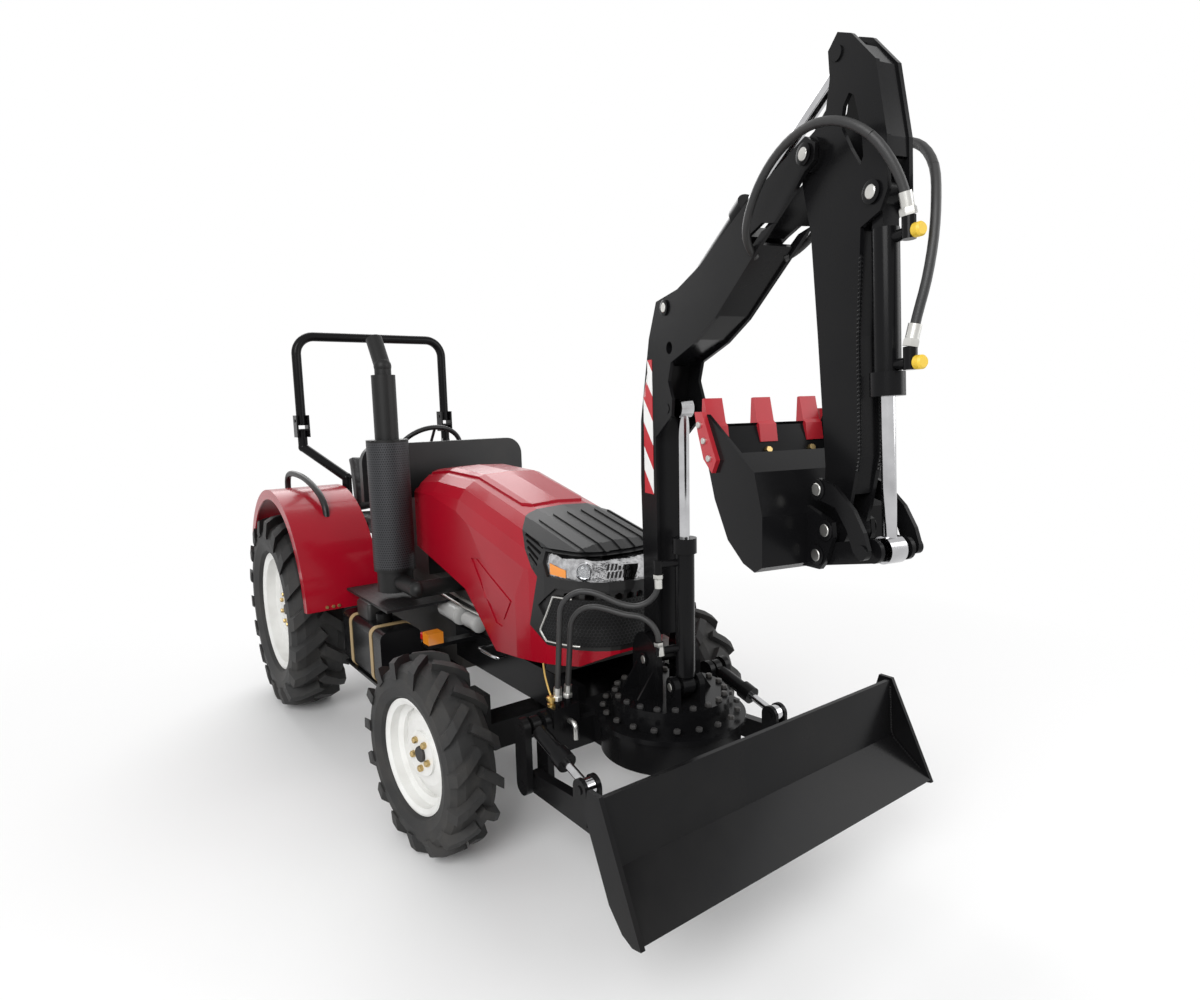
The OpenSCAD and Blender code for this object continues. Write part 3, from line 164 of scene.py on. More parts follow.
coatedLooks = {
    "redPaint": {"shade": (0.36, 0.004, 0.016), "shadeTwo": (0.28, 0.003, 0.012), "rough": 0.18, "coat": 0.12,
                 "specular": 0.16, "dust": 0.004, "dustLow": 0.02},
    "blackPaint": {"shade": (0.0040, 0.0040, 0.0045), "shadeTwo": (0.0065, 0.0065, 0.007), "rough": 0.17,
                   "specular": 0.1, "dust": 0.004, "dustLow": 0.015},
    "blackPlastic": {"shade": (0.006, 0.006, 0.0065), "shadeTwo": (0.009, 0.009, 0.0095), "rough": 0.34,
                     "specular": 0.35, "skin": 0.2, "skinDepth": 0.0008, "dustLow": 0.05},
    "castIron": {"shade": (0.022, 0.022, 0.024), "shadeTwo": (0.04, 0.037, 0.034), "rough": 0.5,
                 "metallic": 0.3, "skin": 0.4, "skinDepth": 0.002, "skinScale": 160.0, "dustLow": 0.3},
    "whiteRim": {"shade": (0.78, 0.78, 0.76), "shadeTwo": (0.70, 0.70, 0.68), "rough": 0.3, "dust": 0.04,
                 "dustLow": 0.18, "cloudScale": 9.0},
    "toothRed": {"shade": (0.42, 0.012, 0.022), "shadeTwo": (0.33, 0.008, 0.016), "rough": 0.35, "coat": 0.2,
                 "skin": 0.2, "skinScale": 120.0},
    # chrome: the bright shade and the dark second shade, mixed by the cloud, are painted reflection
    "rodChrome": {"shade": (0.62, 0.62, 0.63), "shadeTwo": (0.34, 0.34, 0.35), "rough": 0.1,
                  "roughSpread": 0.06, "metallic": 1.0, "cloudScale": 18.0},
    "lampChrome": {"shade": (0.80, 0.80, 0.81), "shadeTwo": (0.05, 0.05, 0.055), "rough": 0.08,
                   "roughSpread": 0.06, "metallic": 1.0, "cloudScale": 42.0, "skin": 0.5,
                   "skinScale": 60.0, "skinDepth": 0.004},
    "pinSteel": {"shade": (0.62, 0.62, 0.60), "shadeTwo": (0.5, 0.49, 0.46), "rough": 0.3, "metallic": 1.0,
                 "cloudScale": 40.0},
    "zincGold": {"shade": (0.62, 0.44, 0.16), "shadeTwo": (0.5, 0.38, 0.2), "rough": 0.3, "metallic": 1.0,
                 "cloudScale": 60.0},
    "capYellow": {"shade": (0.72, 0.48, 0.03), "shadeTwo": (0.62, 0.42, 0.03), "rough": 0.4},
    "filterGrey": {"shade": (0.55, 0.55, 0.54), "shadeTwo": (0.46, 0.46, 0.45), "rough": 0.35,
                   "metallic": 0.2},
    "strapTan": {"shade": (0.38, 0.27, 0.13), "shadeTwo": (0.30, 0.21, 0.10), "rough": 0.45,
                 "cloudScale": 25.0},
    "brass": {"shade": (0.60, 0.40, 0.12), "shadeTwo": (0.45, 0.30, 0.10), "rough": 0.28, "metallic": 1.0,
              "cloudScale": 50.0},
    "hoseRubber": {"shade": (0.008, 0.008, 0.009), "shadeTwo": (0.016, 0.016, 0.016), "rough": 0.45,
                   "skin": 0.3, "skinScale": 500.0, "skinDepth": 0.001},
    "amberLens": {"shade": (0.82, 0.28, 0.02), "shadeTwo": (0.72, 0.22, 0.015), "rough": 0.12, "coat": 0.8},
    "redLens": {"shade": (0.55, 0.01, 0.015), "shadeTwo": (0.45, 0.008, 0.012), "rough": 0.12, "coat": 0.8},
}
finishes = {name: makeCoated(name, look) for name, look in coatedLooks.items()}


def makeTyreRubber(look):
    # dark rubber with fine moulding grain, paler in cloudy patches where it has gathered dust
    material, shader, coords = startFinish("tyreRubber", {"Specular IOR Level": 0.35})
    cloud = coords.noise(7.0, 6.0, 0.6)
    grain = coords.noise(420.0, 2.0)
    dust = ((cloud - 0.45) * 2.2).limited() * look["dust"]
    feed(shader, {"Base Color": dust.mixed(look["shade"], look["dustShade"]),
                  "Roughness": (cloud * 0.2 + look["rough"]).limited(),
                  "Normal": grain.bumped(0.0015, 0.35)})
    return material


def makePunchedGuard(look):
    # sheet with rows of round holes: rows climb the axis, every second row turned half a pitch
    material, shader, coords = startFinish("punchedGuard", {"Metallic": 0.4, "Specular IOR Level": 0.4})
    middle = look["middle"]
    around = coords.part("Y") - middle[1]
    turn = around.calc("ARCTAN2", around, coords.part("X") - middle[0])
    row = coords.part("Z") / look["pitch"]
    shift = row.calc("FLOOR", row) * 0.5
    column = turn * (look["radius"] / look["pitch"]) + shift
    fromRow = row.calc("FRACT", row) - 0.5
    fromColumn = column.calc("FRACT", column) - 0.5
    away = row.calc("SQRT", fromRow * fromRow + fromColumn * fromColumn)
    band = (coords.part("Z") > look["low"]) * (coords.part("Z") < look["high"])
    hole = (away < look["holeShare"]) * band
    cloud = coords.noise(9.0, 4.0)
    sheet = band.mixed(look["pipeShade"], look["shade"])
    # the holes are painted near-black: painted shade for the dark inside seen through them
    feed(shader, {"Base Color": hole.mixed(sheet, (0.002, 0.002, 0.002)),
                  "Roughness": (cloud * 0.15 + look["rough"]).limited(),
                  "Normal": (1.0 - hole).bumped(0.002, 0.8)})
    return material


def makeCheckerPlate(look):
    # tread plate: short lozenges on a square pitch, every second one laid across
    material, shader, coords = startFinish("checkerPlate", {"Metallic": 0.5, "Specular IOR Level": 0.4})
    across = coords.part("X") / look["pitch"]
    along = coords.part("Y") / look["pitch"]
    fromX = across.calc("FRACT", across) - 0.5
    fromY = along.calc("FRACT", along) - 0.5
    square = across.calc("FLOOR", across) + along.calc("FLOOR", along)
    odd = square.calc("PINGPONG", square, 1.0)
    longWay = odd * fromX.calc("ABSOLUTE", fromX) + (1.0 - odd) * fromY.calc("ABSOLUTE", fromY)
    shortWay = odd * fromY.calc("ABSOLUTE", fromY) + (1.0 - odd) * fromX.calc("ABSOLUTE", fromX)
    raised = ((longWay * 1.0 + shortWay * 3.6) < 0.42)
    cloud = coords.noise(12.0, 4.0)
    feed(shader, {"Base Color": raised.mixed(look["shade"], look["worn"]),
                  "Roughness": (cloud * 0.2 + 0.35).limited(),
                  "Normal": raised.bumped(0.003, 0.7)})
    return material


def makeLensGlass():
    # clear moulded lens: flutes across, a hint of grey
    material, shader, coords = startFinish("lensGlass", {"Transmission Weight": 0.85, "IOR": 1.45})
    flute = coords.part("Y") * 260.0
    feed(shader, {"Base Color": coords.noise(30.0).mixed((0.92, 0.93, 0.94), (0.8, 0.82, 0.84)),
                  "Roughness": coords.noise(60.0) * 0.1 + 0.03,
                  "Normal": flute.calc("SINE", flute).bumped(0.001, 0.3)})
    return material


def makeSeatVinyl():
    # soft black vinyl with a pebbled grain
    material, shader, coords = startFinish("seatVinyl", {"Specular IOR Level": 0.4})
    pebble = coords.add("ShaderNodeTexVoronoi", {"feature": "F1"}, {"Vector": coords, "Scale": 380.0})
    cloud = coords.noise(14.0)
    feed(shader, {"Base Color": cloud.mixed((0.014, 0.014, 0.015), (0.03, 0.03, 0.031)),
                  "Roughness": (cloud * 0.2 + 0.42).limited(),
                  "Normal": pebble.bumped(0.0012, 0.35)})
    return material


def makeHoneycomb(look):
    # six-sided cells: of two shifted lattices of middles the nearer counts, then the distance to the wall
    material, shader, coords = startFinish("honeycomb", {"Specular IOR Level": 0.3})
    away = coords.part("X") - look["axis"]
    turn = away.calc("ARCTAN2", coords.part("Y"), away)
    place = (turn * (look["radius"] / look["cell"]), coords.part("Z") / look["cell"])
    spans = (1.0, math.sqrt(3.0))

    def fromMiddle(shift):
        shifted = [p + shift * span for p, span in zip(place, spans)]
        return [p.calc("FLOORED_MODULO", p, span) - span / 2 for p, span in zip(shifted, spans)]

    one, two = fromMiddle(0.0), fromMiddle(0.5)
    nearer = (one[0] * one[0] + one[1] * one[1]) < (two[0] * two[0] + two[1] * two[1])
    across, up = (nearer * a + (1.0 - nearer) * b for a, b in zip(one, two))
    across, up = across.calc("ABSOLUTE", across), up.calc("ABSOLUTE", up)
    wall = across.calc("MAXIMUM", across, across * 0.5 + up * (math.sqrt(3.0) / 2))
    bar = ((wall - look["open"]) * 12.0).limited()
    # the open cells are painted near-black: painted shade for the dark space behind the mesh
    feed(shader, {"Base Color": bar.mixed((0.0012, 0.0012, 0.0012), look["shade"]),
                  "Roughness": (bar * -0.3 + 0.75).limited(),
                  "Normal": bar.bumped(0.004, 0.9)})
    return material


def makeStripes(look):
    # slanting bands of two colours
    material, shader, coords = startFinish("signStripes", {"Specular IOR Level": 0.4})
    climb = (coords.part("Z") + coords.part("X") * look["slant"]) / look["pitch"]
    band = climb.calc("FRACT", climb) < look["share"]
    cloud = coords.noise(20.0)
    feed(shader, {"Base Color": band.mixed(look["first"], look["second"]), "Roughness": cloud * 0.15 + 0.25})
    return material


guardLook = {"middle": (-0.417, -0.39), "radius": 0.097, "pitch": 0.011, "holeShare": 0.30, "low": 0.915,
             "high": 1.51, "shade": (0.040, 0.041, 0.045), "pipeShade": (0.008, 0.008, 0.008), "rough": 0.4}
finishes["tyreRubber"] = makeTyreRubber({"shade": (0.018, 0.018, 0.018), "dustShade": (0.075, 0.068, 0.060),
                                         "dust": 0.5, "rough": 0.55})
finishes["punchedGuard"] = makePunchedGuard(guardLook)
finishes["checkerPlate"] = makeCheckerPlate({"pitch": 0.03, "shade": (0.018, 0.018, 0.019),
                                             "worn": (0.06, 0.058, 0.055)})
finishes["lensGlass"] = makeLensGlass()
finishes["seatVinyl"] = makeSeatVinyl()
noseAxis, noseRadius = 0.62, 0.30
finishes["honeycomb"] = makeHoneycomb({"axis": noseAxis, "radius": noseRadius, "cell": 0.013, "open": 0.36,
                                       "shade": (0.010, 0.010, 0.011)})
finishes["signStripes"] = makeStripes({"slant": 1.2, "pitch": 0.16, "share": 0.5, "first": (0.45, 0.01, 0.02),
                                       "second": (0.80, 0.80, 0.79)})

nodeFinishes = {
    "redPaint": ["fenders", "hood"],
    "blackPaint": ["chassis", "front_axle", "rops_posts", "rops_bar", "slew_base", "knuckle_left",
                   "knuckle_right", "turret", "boom", "dipper", "bucket", "rocker", "bucket_link",
                   "boom_barrel", "dipper_barrel", "bucket_barrel", "blade", "blade_barrels", "tank"],
    "blackPlastic": ["dash", "nose", "grille"],
    "castIron": ["engine", "transmission", "hitch"],
    "whiteRim": ["front_rim_left", "front_rim_right", "rear_rim_left", "rear_rim_right"],
    "tyreRubber": ["front_tyre_left", "front_tyre_right", "rear_tyre_left", "rear_tyre_right"],
    "rodChrome": ["boom_rod", "dipper_rod", "bucket_rod", "blade_rods"],
    "lampChrome": ["headlamps"],
    "amberLens": ["side_lamp"],
    "toothRed": ["bucket_teeth"],
    "punchedGuard": ["exhaust"],
    "checkerPlate": ["floor"],
    "seatVinyl": ["seat"],
}
for finishName, members in nodeFinishes.items():
    for member in members:
        nodes[member].data.materials.clear()
        nodes[member].data.materials.append(finishes[finishName])
print("finishes made:", len(finishes))


def gridFaces(rows, columns):
    # quads between neighbouring rows of a grid that is closed round its columns, then a cap at each end
    across = np.arange(columns)
    beside = (across + 1) % columns
    start = np.arange(rows - 1)[:, None] * columns
    quads = np.stack([start + across, start + beside, start + columns + beside, start + columns + across], -1)
    faces = quads.reshape(-1, 4).tolist()
    faces.append(across[::-1].tolist())
    faces.append((across + (rows - 1) * columns).tolist())
    return faces


def putMesh(name, points, faces, finish, body=None, sharp=35):
    # a finished piece: points already in place, corners over the sharp angle kept
    mesh = bpy.data.meshes.new(name)
    mesh.from_pydata(np.asarray(points).reshape(-1, 3).tolist(), [], faces)
    mesh.polygons.foreach_set("use_smooth", [True] * len(mesh.polygons))
    mesh.set_sharp_from_angle(angle=math.radians(sharp))
    mesh.materials.append(finishes[finish])
    piece = bpy.data.objects.new(name, mesh)
    bpy.context.scene.collection.objects.link(piece)
    if body:
        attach(piece, body)
    return piece


def turned(profile, sides):
    # surface of revolution: each (radius, height) of the profile goes once round the Z axis
    radius, height = np.array(profile, float).T
    turn = np.arange(sides) * 2 * np.pi / sides
    points = np.stack([radius[:, None] * np.cos(turn), radius[:, None] * np.sin(turn),
                       np.repeat(height[:, None], sides, 1)], -1)
    return points.reshape(-1, 3), gridFaces(len(radius), sides)


def swept(path, radius, sides=14):
    # round tube: a circle carried along the path, square to it, with its first arm level where it can be
    path = np.asarray(path, float)
    ahead = np.gradient(path, axis=0)
    ahead /= np.linalg.norm(ahead, axis=1)[:, None]
    spread = path.max(0) - path.min(0)
    guide = np.eye(3)[int(np.argmin(spread))]
    first = np.cross(guide, ahead)
    first /= np.linalg.norm(first, axis=1)[:, None]
    second = np.cross(ahead, first)
    turn = np.arange(sides) * 2 * np.pi / sides
    radius = np.broadcast_to(np.asarray(radius, float), (len(path),))[:, None, None]
    ring = first[:, None] * np.cos(turn)[None, :, None] + second[:, None] * np.sin(turn)[None, :, None]
    return (path[:, None] + radius * ring).reshape(-1, 3), gridFaces(len(path), sides)


def smoothRoute(route, steps=3):
    # cubic through the route's points: each span is weighed from its two ends and their neighbours
    p = np.asarray(route, float)
    p = np.vstack([2 * p[0] - p[1], p, 2 * p[-1] - p[-2]])
    t = (np.arange(steps) / steps)[None, :, None]
    a, b, c, d = (p[i:len(p) - 3 + i, None] for i in range(4))
    spans = b + 0.5 * t * (c - a + t * (2 * a - 5 * b + 4 * c - d + t * (3 * (b - c) + d - a)))
    return np.vstack([spans.reshape(-1, 3), p[-2:-1]])


def turnTo(axis):
    # matrix that lays the Z axis along the given one
    return np.array(Vector(axis).to_track_quat("Z", "Y").to_matrix())


def scattered(shape, places, axes):
    # copies of one shape: turned to each axis, set at each place
    points, faces = shape
    turns = np.array([turnTo(a) for a in axes])
    copies = np.einsum("nij,mj->nmi", turns, points) + np.asarray(places, float)[:, None]
    steps = len(points) * np.arange(len(places))
    return copies.reshape(-1, 3), [[i + int(s) for i in face] for s in steps for face in faces]


def hexHead(width, height):
    # bolt head: six flats with a bevelled top
    r = width / math.sqrt(3)
    return turned([(r, 0), (r, height * 0.75), (r * 0.84, height)], 6)


def roundHead(radius, height):
    # pin head: a disc with a small chamfer
    return turned([(radius, 0), (radius, height * 0.7), (radius * 0.9, height)], 32)


def points(name):
    # a CAD node's corners as an array
    mesh = nodes[name].data
    found = np.zeros(len(mesh.vertices) * 3, np.float32)
    mesh.vertices.foreach_get("co", found)
    return found.reshape(-1, 3).astype(float)


def skin(names, starts, ways):
    # where rays from the starts first meet the named CAD nodes
    corners, sides, count = [], [], 0
    for name in names:
        mesh = nodes[name].data
        corners += [v.co for v in mesh.vertices]
        sides += [[i + count for i in p.vertices] for p in mesh.polygons]
        count += len(mesh.vertices)
    tree = BVHTree.FromPolygons(corners, sides)
    starts, ways = np.broadcast_arrays(np.asarray(starts, float), np.asarray(ways, float))
    rays = zip(starts.reshape(-1, 3), ways.reshape(-1, 3))
    found = [tree.ray_cast(Vector(a), Vector(b))[0] for a, b in rays]
    return np.array([f if f is not None else (np.nan,) * 3 for f in found], float).reshape(starts.shape)


def slab(front, back):
    # closed plate between two grids of points: both sheets, then a wall along each edge
    rows, columns = front.shape[:2]
    index = np.arange(rows * columns).reshape(rows, columns)
    quads = np.stack([index[:-1, :-1], index[:-1, 1:], index[1:, 1:], index[1:, :-1]], -1).reshape(-1, 4)
    under = quads[:, ::-1] + rows * columns
    rim = np.concatenate([index[0, :-1], index[:-1, -1], index[-1, :0:-1], index[:0:-1, 0]])
    after = np.roll(rim, -1)
    wall = np.stack([rim + rows * columns, after + rows * columns, after, rim], -1)
    faces = np.concatenate([quads, under, wall]).tolist()
    return np.concatenate([front.reshape(-1, 3), back.reshape(-1, 3)]), faces


def joined(shapes):
    # several shapes as one: the later ones' corner numbers move up
    steps = np.cumsum([0] + [len(p) for p, f in shapes])
    faces = [[i + int(step) for i in face] for (p, f), step in zip(shapes, steps) for face in f]
    return np.vstack([np.asarray(p).reshape(-1, 3) for p, f in shapes]), faces


def beaded(path, radius, pitch=0.009):
    # weld bead: a tube whose radius swells once each pitch
    path = np.asarray(path, float)
    along = np.concatenate([[0], np.cumsum(np.linalg.norm(np.diff(path, axis=0), axis=1))])
    fine = np.arange(0, along[-1], pitch / 4)
    line = np.stack([np.interp(fine, along, path[:, i]) for i in range(3)], -1)
    return swept(line, radius * (1 + 0.22 * np.sin(fine * 2 * np.pi / pitch)), 8)


armTurn = math.radians(-13)
armAhead = np.array([math.cos(armTurn), math.sin(armTurn), 0.0])
armSide = np.array([-math.sin(armTurn), math.cos(armTurn), 0.0])
slewPoint = np.array([*joints["slew"]["pos_m"][:2], 0.0])


def onArm(u, v, z):
    # a place on the arm: ahead of the slew axis, to the arm's left, and up
    return slewPoint + armAhead * u + armSide * v + np.array([0, 0, z])


def reach(name, centre, axis, radius):
    # how far a node reaches along an axis, near the line through the centre
    away = points(name) - np.asarray(centre, float)
    along = away @ axis
    near = np.linalg.norm(away - along[:, None] * axis, axis=1) < radius
    return along[near].min(), along[near].max()


# pin heads on both sides of the arm
armPins = {"pinRadius": 0.0145, "height": 0.004, "near": 0.026, "collar": 0.024, "collarHeight": 0.0025,
           "pins": {"boom_lift": ("turret", "turret"), "dipper_swing": ("boom", "boom"),
                    "dipper_barrel_turn": ("boom", "boom"), "bucket_barrel_turn": ("dipper", "dipper"),
                    "rocker_turn": ("dipper", "dipper"), "bucket_curl": ("bucket", "bucket"),
                    "link_turn": ("bucket", "bucket"), "boom_barrel_turn": ("turret", "turret")}}
for jointName, (node, body) in armPins["pins"].items():
    centre = np.array(joints[jointName]["pos_m"])
    low, high = reach(node, centre, armSide, armPins["near"])
    places = [centre + armSide * low, centre + armSide * high]
    head = scattered(roundHead(armPins["pinRadius"], armPins["height"]), places, [-armSide, armSide])
    putMesh(jointName + "_heads", *head, "pinSteel", body)
    collar = scattered(roundHead(armPins["collar"], armPins["collarHeight"]), places, [-armSide, armSide])
    putMesh(jointName + "_collars", *collar, "blackPaint", body)
print("arm pins headed")

# wheel nuts and hub caps
wheelLook = {"nuts": {"front": 5, "rear": 8}, "hub": {"front": 0.085, "rear": 0.13}, "circleShare": 0.66,
             "start": 0.3, "nutWidth": 0.022, "nutHeight": 0.016, "capRadius": 0.030, "capHeight": 0.012}
wheelNut = hexHead(wheelLook["nutWidth"], wheelLook["nutHeight"])
hubCap = roundHead(wheelLook["capRadius"], wheelLook["capHeight"])
for end in ("front", "rear"):
    for side, sign in (("left", 1), ("right", -1)):
        rim = end + "_rim_" + side
        spin = joints[end + "_spin_" + side]
        centre = np.array(spin["pos_m"])
        axis = np.array(spin["axis"], float) * sign
        axis /= np.linalg.norm(axis)
        hubRadius = wheelLook["hub"][end]
        low, high = reach(rim, centre, axis, hubRadius)
        face = centre + axis * high
        first = np.cross(axis, [0, 0, 1])
        first /= np.linalg.norm(first)
        second = np.cross(axis, first)
        count = wheelLook["nuts"][end]
        turn = (np.arange(count) * 2 * np.pi / count + wheelLook["start"])[:, None]
        ring = hubRadius * wheelLook["circleShare"] * (np.cos(turn) * first + np.sin(turn) * second)
        body = end + "_wheel_" + side
        putMesh(rim + "_nuts", *scattered(wheelNut, face + ring, [axis] * count), "zincGold", body)
        putMesh(rim + "_cap", *scattered(hubCap, [face], [axis]), "castIron", body)
print("wheels fitted")

# bolts round the slew ring's flange and the turret's foot plate
ringLook = {"count": 20, "flangeRadius": 0.234, "plateRadius": 0.190, "width": 0.020, "height": 0.012,
            "plateThick": 0.025, "flangeDown": 0.045}
turn = np.arange(ringLook["count"]) * 2 * np.pi / ringLook["count"]
circle = np.stack([np.cos(turn), np.sin(turn), 0 * turn], -1)
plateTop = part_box("turret")[0].z + ringLook["plateThick"]
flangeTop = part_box("slew_base")[1].z - ringLook["flangeDown"]
ringBolt = hexHead(ringLook["width"], ringLook["height"])
for name, radius, height, body in (("flange_bolts", ringLook["flangeRadius"], flangeTop, "tractor"),
                                   ("turret_bolts", ringLook["plateRadius"], plateTop, "turret")):
    places = slewPoint + circle * radius + np.array([0, 0, height])
    putMesh(name, *scattered(ringBolt, places, [(0, 0, 1)] * len(places)), "castIron", body)


def archRoute(port, knee, foot, turnOut, turnDown, level, peak, steps=7):
    # quarter turn from the port to level, half a cosine up to the peak, quarter turn down, straight on
    port, knee, foot = np.array(port), np.array(knee), np.array(foot)
    reach = np.linalg.norm(knee - port[:2])
    turn = np.linspace(0, np.pi / 2, steps)
    rise = np.linspace(0, 1, steps)[1:]
    side = math.copysign(1, level - port[2])
    far = np.concatenate([[0], turnOut * (1 - np.cos(turn)), turnOut + (reach - turnDown - turnOut) * rise,
                          reach - turnDown + turnDown * np.sin(turn[1:])])
    high = np.concatenate([[port[2]], level - side * turnOut * (1 - np.sin(turn)),
                           level + (peak - level) * (1 - np.cos(np.pi * rise)) / 2,
                           peak - turnDown * (1 - np.cos(turn[1:]))])
    arch = np.column_stack([port[:2] + (knee - port[:2]) * far[:, None] / reach, high])
    drop = arch[-1] + (foot - arch[-1]) * np.linspace(0, 1, 6)[1:, None]
    return np.vstack([arch, drop])


# hydraulic hoses: routes listed, those on the arm as places ahead, left and up
# each part has its name, the two bodies it runs between, and two places in its route
hoses = {
    "near": {"route": [
        onArm(0.570, -0.044, 2.020), onArm(0.586, -0.074, 2.040), onArm(0.607, -0.097, 2.067),
        onArm(0.636, -0.110, 2.103), onArm(0.680, -0.115, 2.153), onArm(0.735, -0.113, 2.198),
        onArm(0.805, -0.110, 2.226), onArm(0.875, -0.104, 2.231), onArm(0.940, -0.090, 2.213),
        onArm(0.990, -0.066, 2.174), onArm(1.016, -0.038, 2.122), onArm(1.026, -0.014, 2.070),
        onArm(1.028, 0.0, 2.018)], "cut": 9, "parts": [
        ("bucket_hose_near", "boom", "dipper", 2, 9), ("bucket_hose_end", "dipper", "bucket_barrel", 9, 11)]},
    "far": {"route": [
        onArm(0.570, 0.044, 2.020), onArm(0.587, 0.075, 2.041), onArm(0.610, 0.098, 2.069),
        onArm(0.643, 0.110, 2.105), onArm(0.690, 0.114, 2.148), onArm(0.755, 0.114, 2.190),
        onArm(0.830, 0.112, 2.212), onArm(0.905, 0.106, 2.206), onArm(0.970, 0.092, 2.175),
        onArm(1.020, 0.072, 2.120), onArm(1.048, 0.050, 2.050), onArm(1.060, 0.034, 1.970),
        onArm(1.059, 0.020, 1.890), onArm(1.049, 0.008, 1.820), onArm(1.041, 0.0, 1.760)],
        "cut": 9, "parts": [("bucket_hose_far", "boom", "dipper", 1, 8),
                            ("bucket_hose_drop", "dipper", "bucket_barrel", 10, 14)]},
    "upper": {"route": archRoute((1.213, -0.121, 1.112), (0.962, -0.341), (0.931, -0.343, 0.660),
                                 turnOut=0.083, turnDown=0.087, level=1.004, peak=1.048),
              "cut": 7, "parts": [("boom_hose_upper", "boom_barrel", "turret", 0, 7),
                                  ("boom_lead_upper", "turret", "tractor", 7, 13)]},
    "lower": {"route": archRoute((1.211, -0.121, 0.886), (0.960, -0.299), (0.931, -0.301, 0.660),
                                 turnOut=0.083, turnDown=0.087, level=0.969, peak=0.990),
              "cut": 7, "parts": [("boom_hose_lower", "boom_barrel", "turret", 0, 7),
                                  ("boom_lead_lower", "turret", "tractor", 7, 13)]},
}
hoseLook = {"diameter": 0.020, "ferrule": 0.0135, "ferruleLength": 0.045, "nut": 0.030, "nutHeight": 0.016}
hoseEnds = {"bucket_hose_end": [(-1, "bucket_barrel")], "bucket_hose_drop": [(-1, "bucket_barrel")],
            "boom_hose_upper": [(0, "boom_barrel")], "boom_hose_lower": [(0, "boom_barrel")],
            "boom_lead_upper": [(-1, "tractor")], "boom_lead_lower": [(-1, "tractor")]}
hoseRuns = []
for look in hoses.values():
    # one smooth route, cut in two where it passes from one joint to the next
    whole = smoothRoute(look["route"])
    cut = np.linalg.norm(whole - np.array(look["route"][look["cut"]]), axis=1).argmin()
    for (*part, start, end), run in zip(look["parts"], (whole[:cut + 1], whole[cut:])):
        hoseRuns.append((*part, tuple(look["route"][start]), tuple(look["route"][end]), run))
for name, before, after, start, end, path in hoseRuns:
    piece = putMesh(name, *swept(path, hoseLook["diameter"] / 2), "hoseRubber")
    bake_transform(piece)
    for end, body in hoseEnds.get(name, []):
        # crimped sleeve over the hose's end, then a nut against the port
        tip = path[end]
        inward = path[1] - path[0] if end == 0 else path[-2] - path[-1]
        inward /= np.linalg.norm(inward)
        sleeve = tip + inward * hoseLook["ferruleLength"] * np.linspace(0, 1, 2)[:, None]
        sleevePoints, sleeveFaces = swept(sleeve, hoseLook["ferrule"], 20)
        nutPoints, nutFaces = scattered(hexHead(hoseLook["nut"], hoseLook["nutHeight"]), [tip], [inward])
        faces = sleeveFaces + [[i + len(sleevePoints) for i in face] for face in nutFaces]
        putMesh(name + "_fitting", np.vstack([sleevePoints, nutPoints]), faces, "pinSteel", body)

# yellow caps on the bucket cylinder's ports
capLook = {"out": 0.013, "profile": [(0.011, 0), (0.0145, 0.004), (0.0145, 0.0176), (0.011, 0.022)],
           "places": {"port_cap_top": (1.0296, 1.9852), "port_cap_low": (1.0425, 1.7275)}}
for name, (u, z) in capLook["places"].items():
    cap = scattered(turned(capLook["profile"], 24), [onArm(u + capLook["out"], 0, z)], [armAhead])
    putMesh(name, *cap, "capYellow", "bucket_barrel")


def ringFaces(rows, columns):
    # quads of a grid that is closed both round its rows and round its columns
    row = np.arange(rows)[:, None] * columns
    nextRow = (np.arange(rows)[:, None] + 1) % rows * columns
    across = np.arange(columns)
    beside = (across + 1) % columns
    quads = np.stack([row + across, row + beside, nextRow + beside, nextRow + across], -1)
    return quads.reshape(-1, 4).tolist()


def roundedLoop(halfWide, halfHigh, corner, steps=8):
    # rectangle with round corners, anticlockwise: a quarter circle is set at each corner
    turn = np.linspace(0, np.pi / 2, steps)
    quarter = np.stack([np.cos(turn), np.sin(turn)], -1) * corner
    spins = np.array([[[1, 0], [0, 1]], [[0, -1], [1, 0]], [[-1, 0], [0, -1]], [[0, 1], [-1, 0]]])
    signs = np.array([[1, 1], [-1, 1], [-1, -1], [1, -1]])
    middles = signs * np.array([halfWide - corner, halfHigh - corner])
    return np.vstack([quarter @ spin.T + middle for spin, middle in zip(spins, middles)])


# straps round the side tank
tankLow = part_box("tank")[0]
strapLook = {"places": (-0.575, -0.290), "halfWide": 0.017, "thick": 0.003, "corner": 0.034,
             "halfHigh": 0.1275, "halfDeep": 0.095, "foot": 0.012}
deep, tall, thick = (strapLook[k] for k in ("halfDeep", "halfHigh", "thick"))
strapMiddle = np.array([0, tankLow.y + deep, tankLow.z + strapLook["foot"] + tall])
for number, x in enumerate(strapLook["places"]):
    inner = roundedLoop(deep, tall, strapLook["corner"])
    outer = roundedLoop(deep + thick, tall + thick, strapLook["corner"] + thick)
    ahead, behind = x + strapLook["halfWide"], x - strapLook["halfWide"]
    edges = [(ahead, outer), (behind, outer), (behind, inner), (ahead, inner)]
    loop = np.stack([np.column_stack([np.full(len(yz), at), yz]) for at, yz in edges], 1) + strapMiddle
    putMesh("tank_strap_%d" % number, loop, ringFaces(loop.shape[0], 4), "strapTan", "tractor")
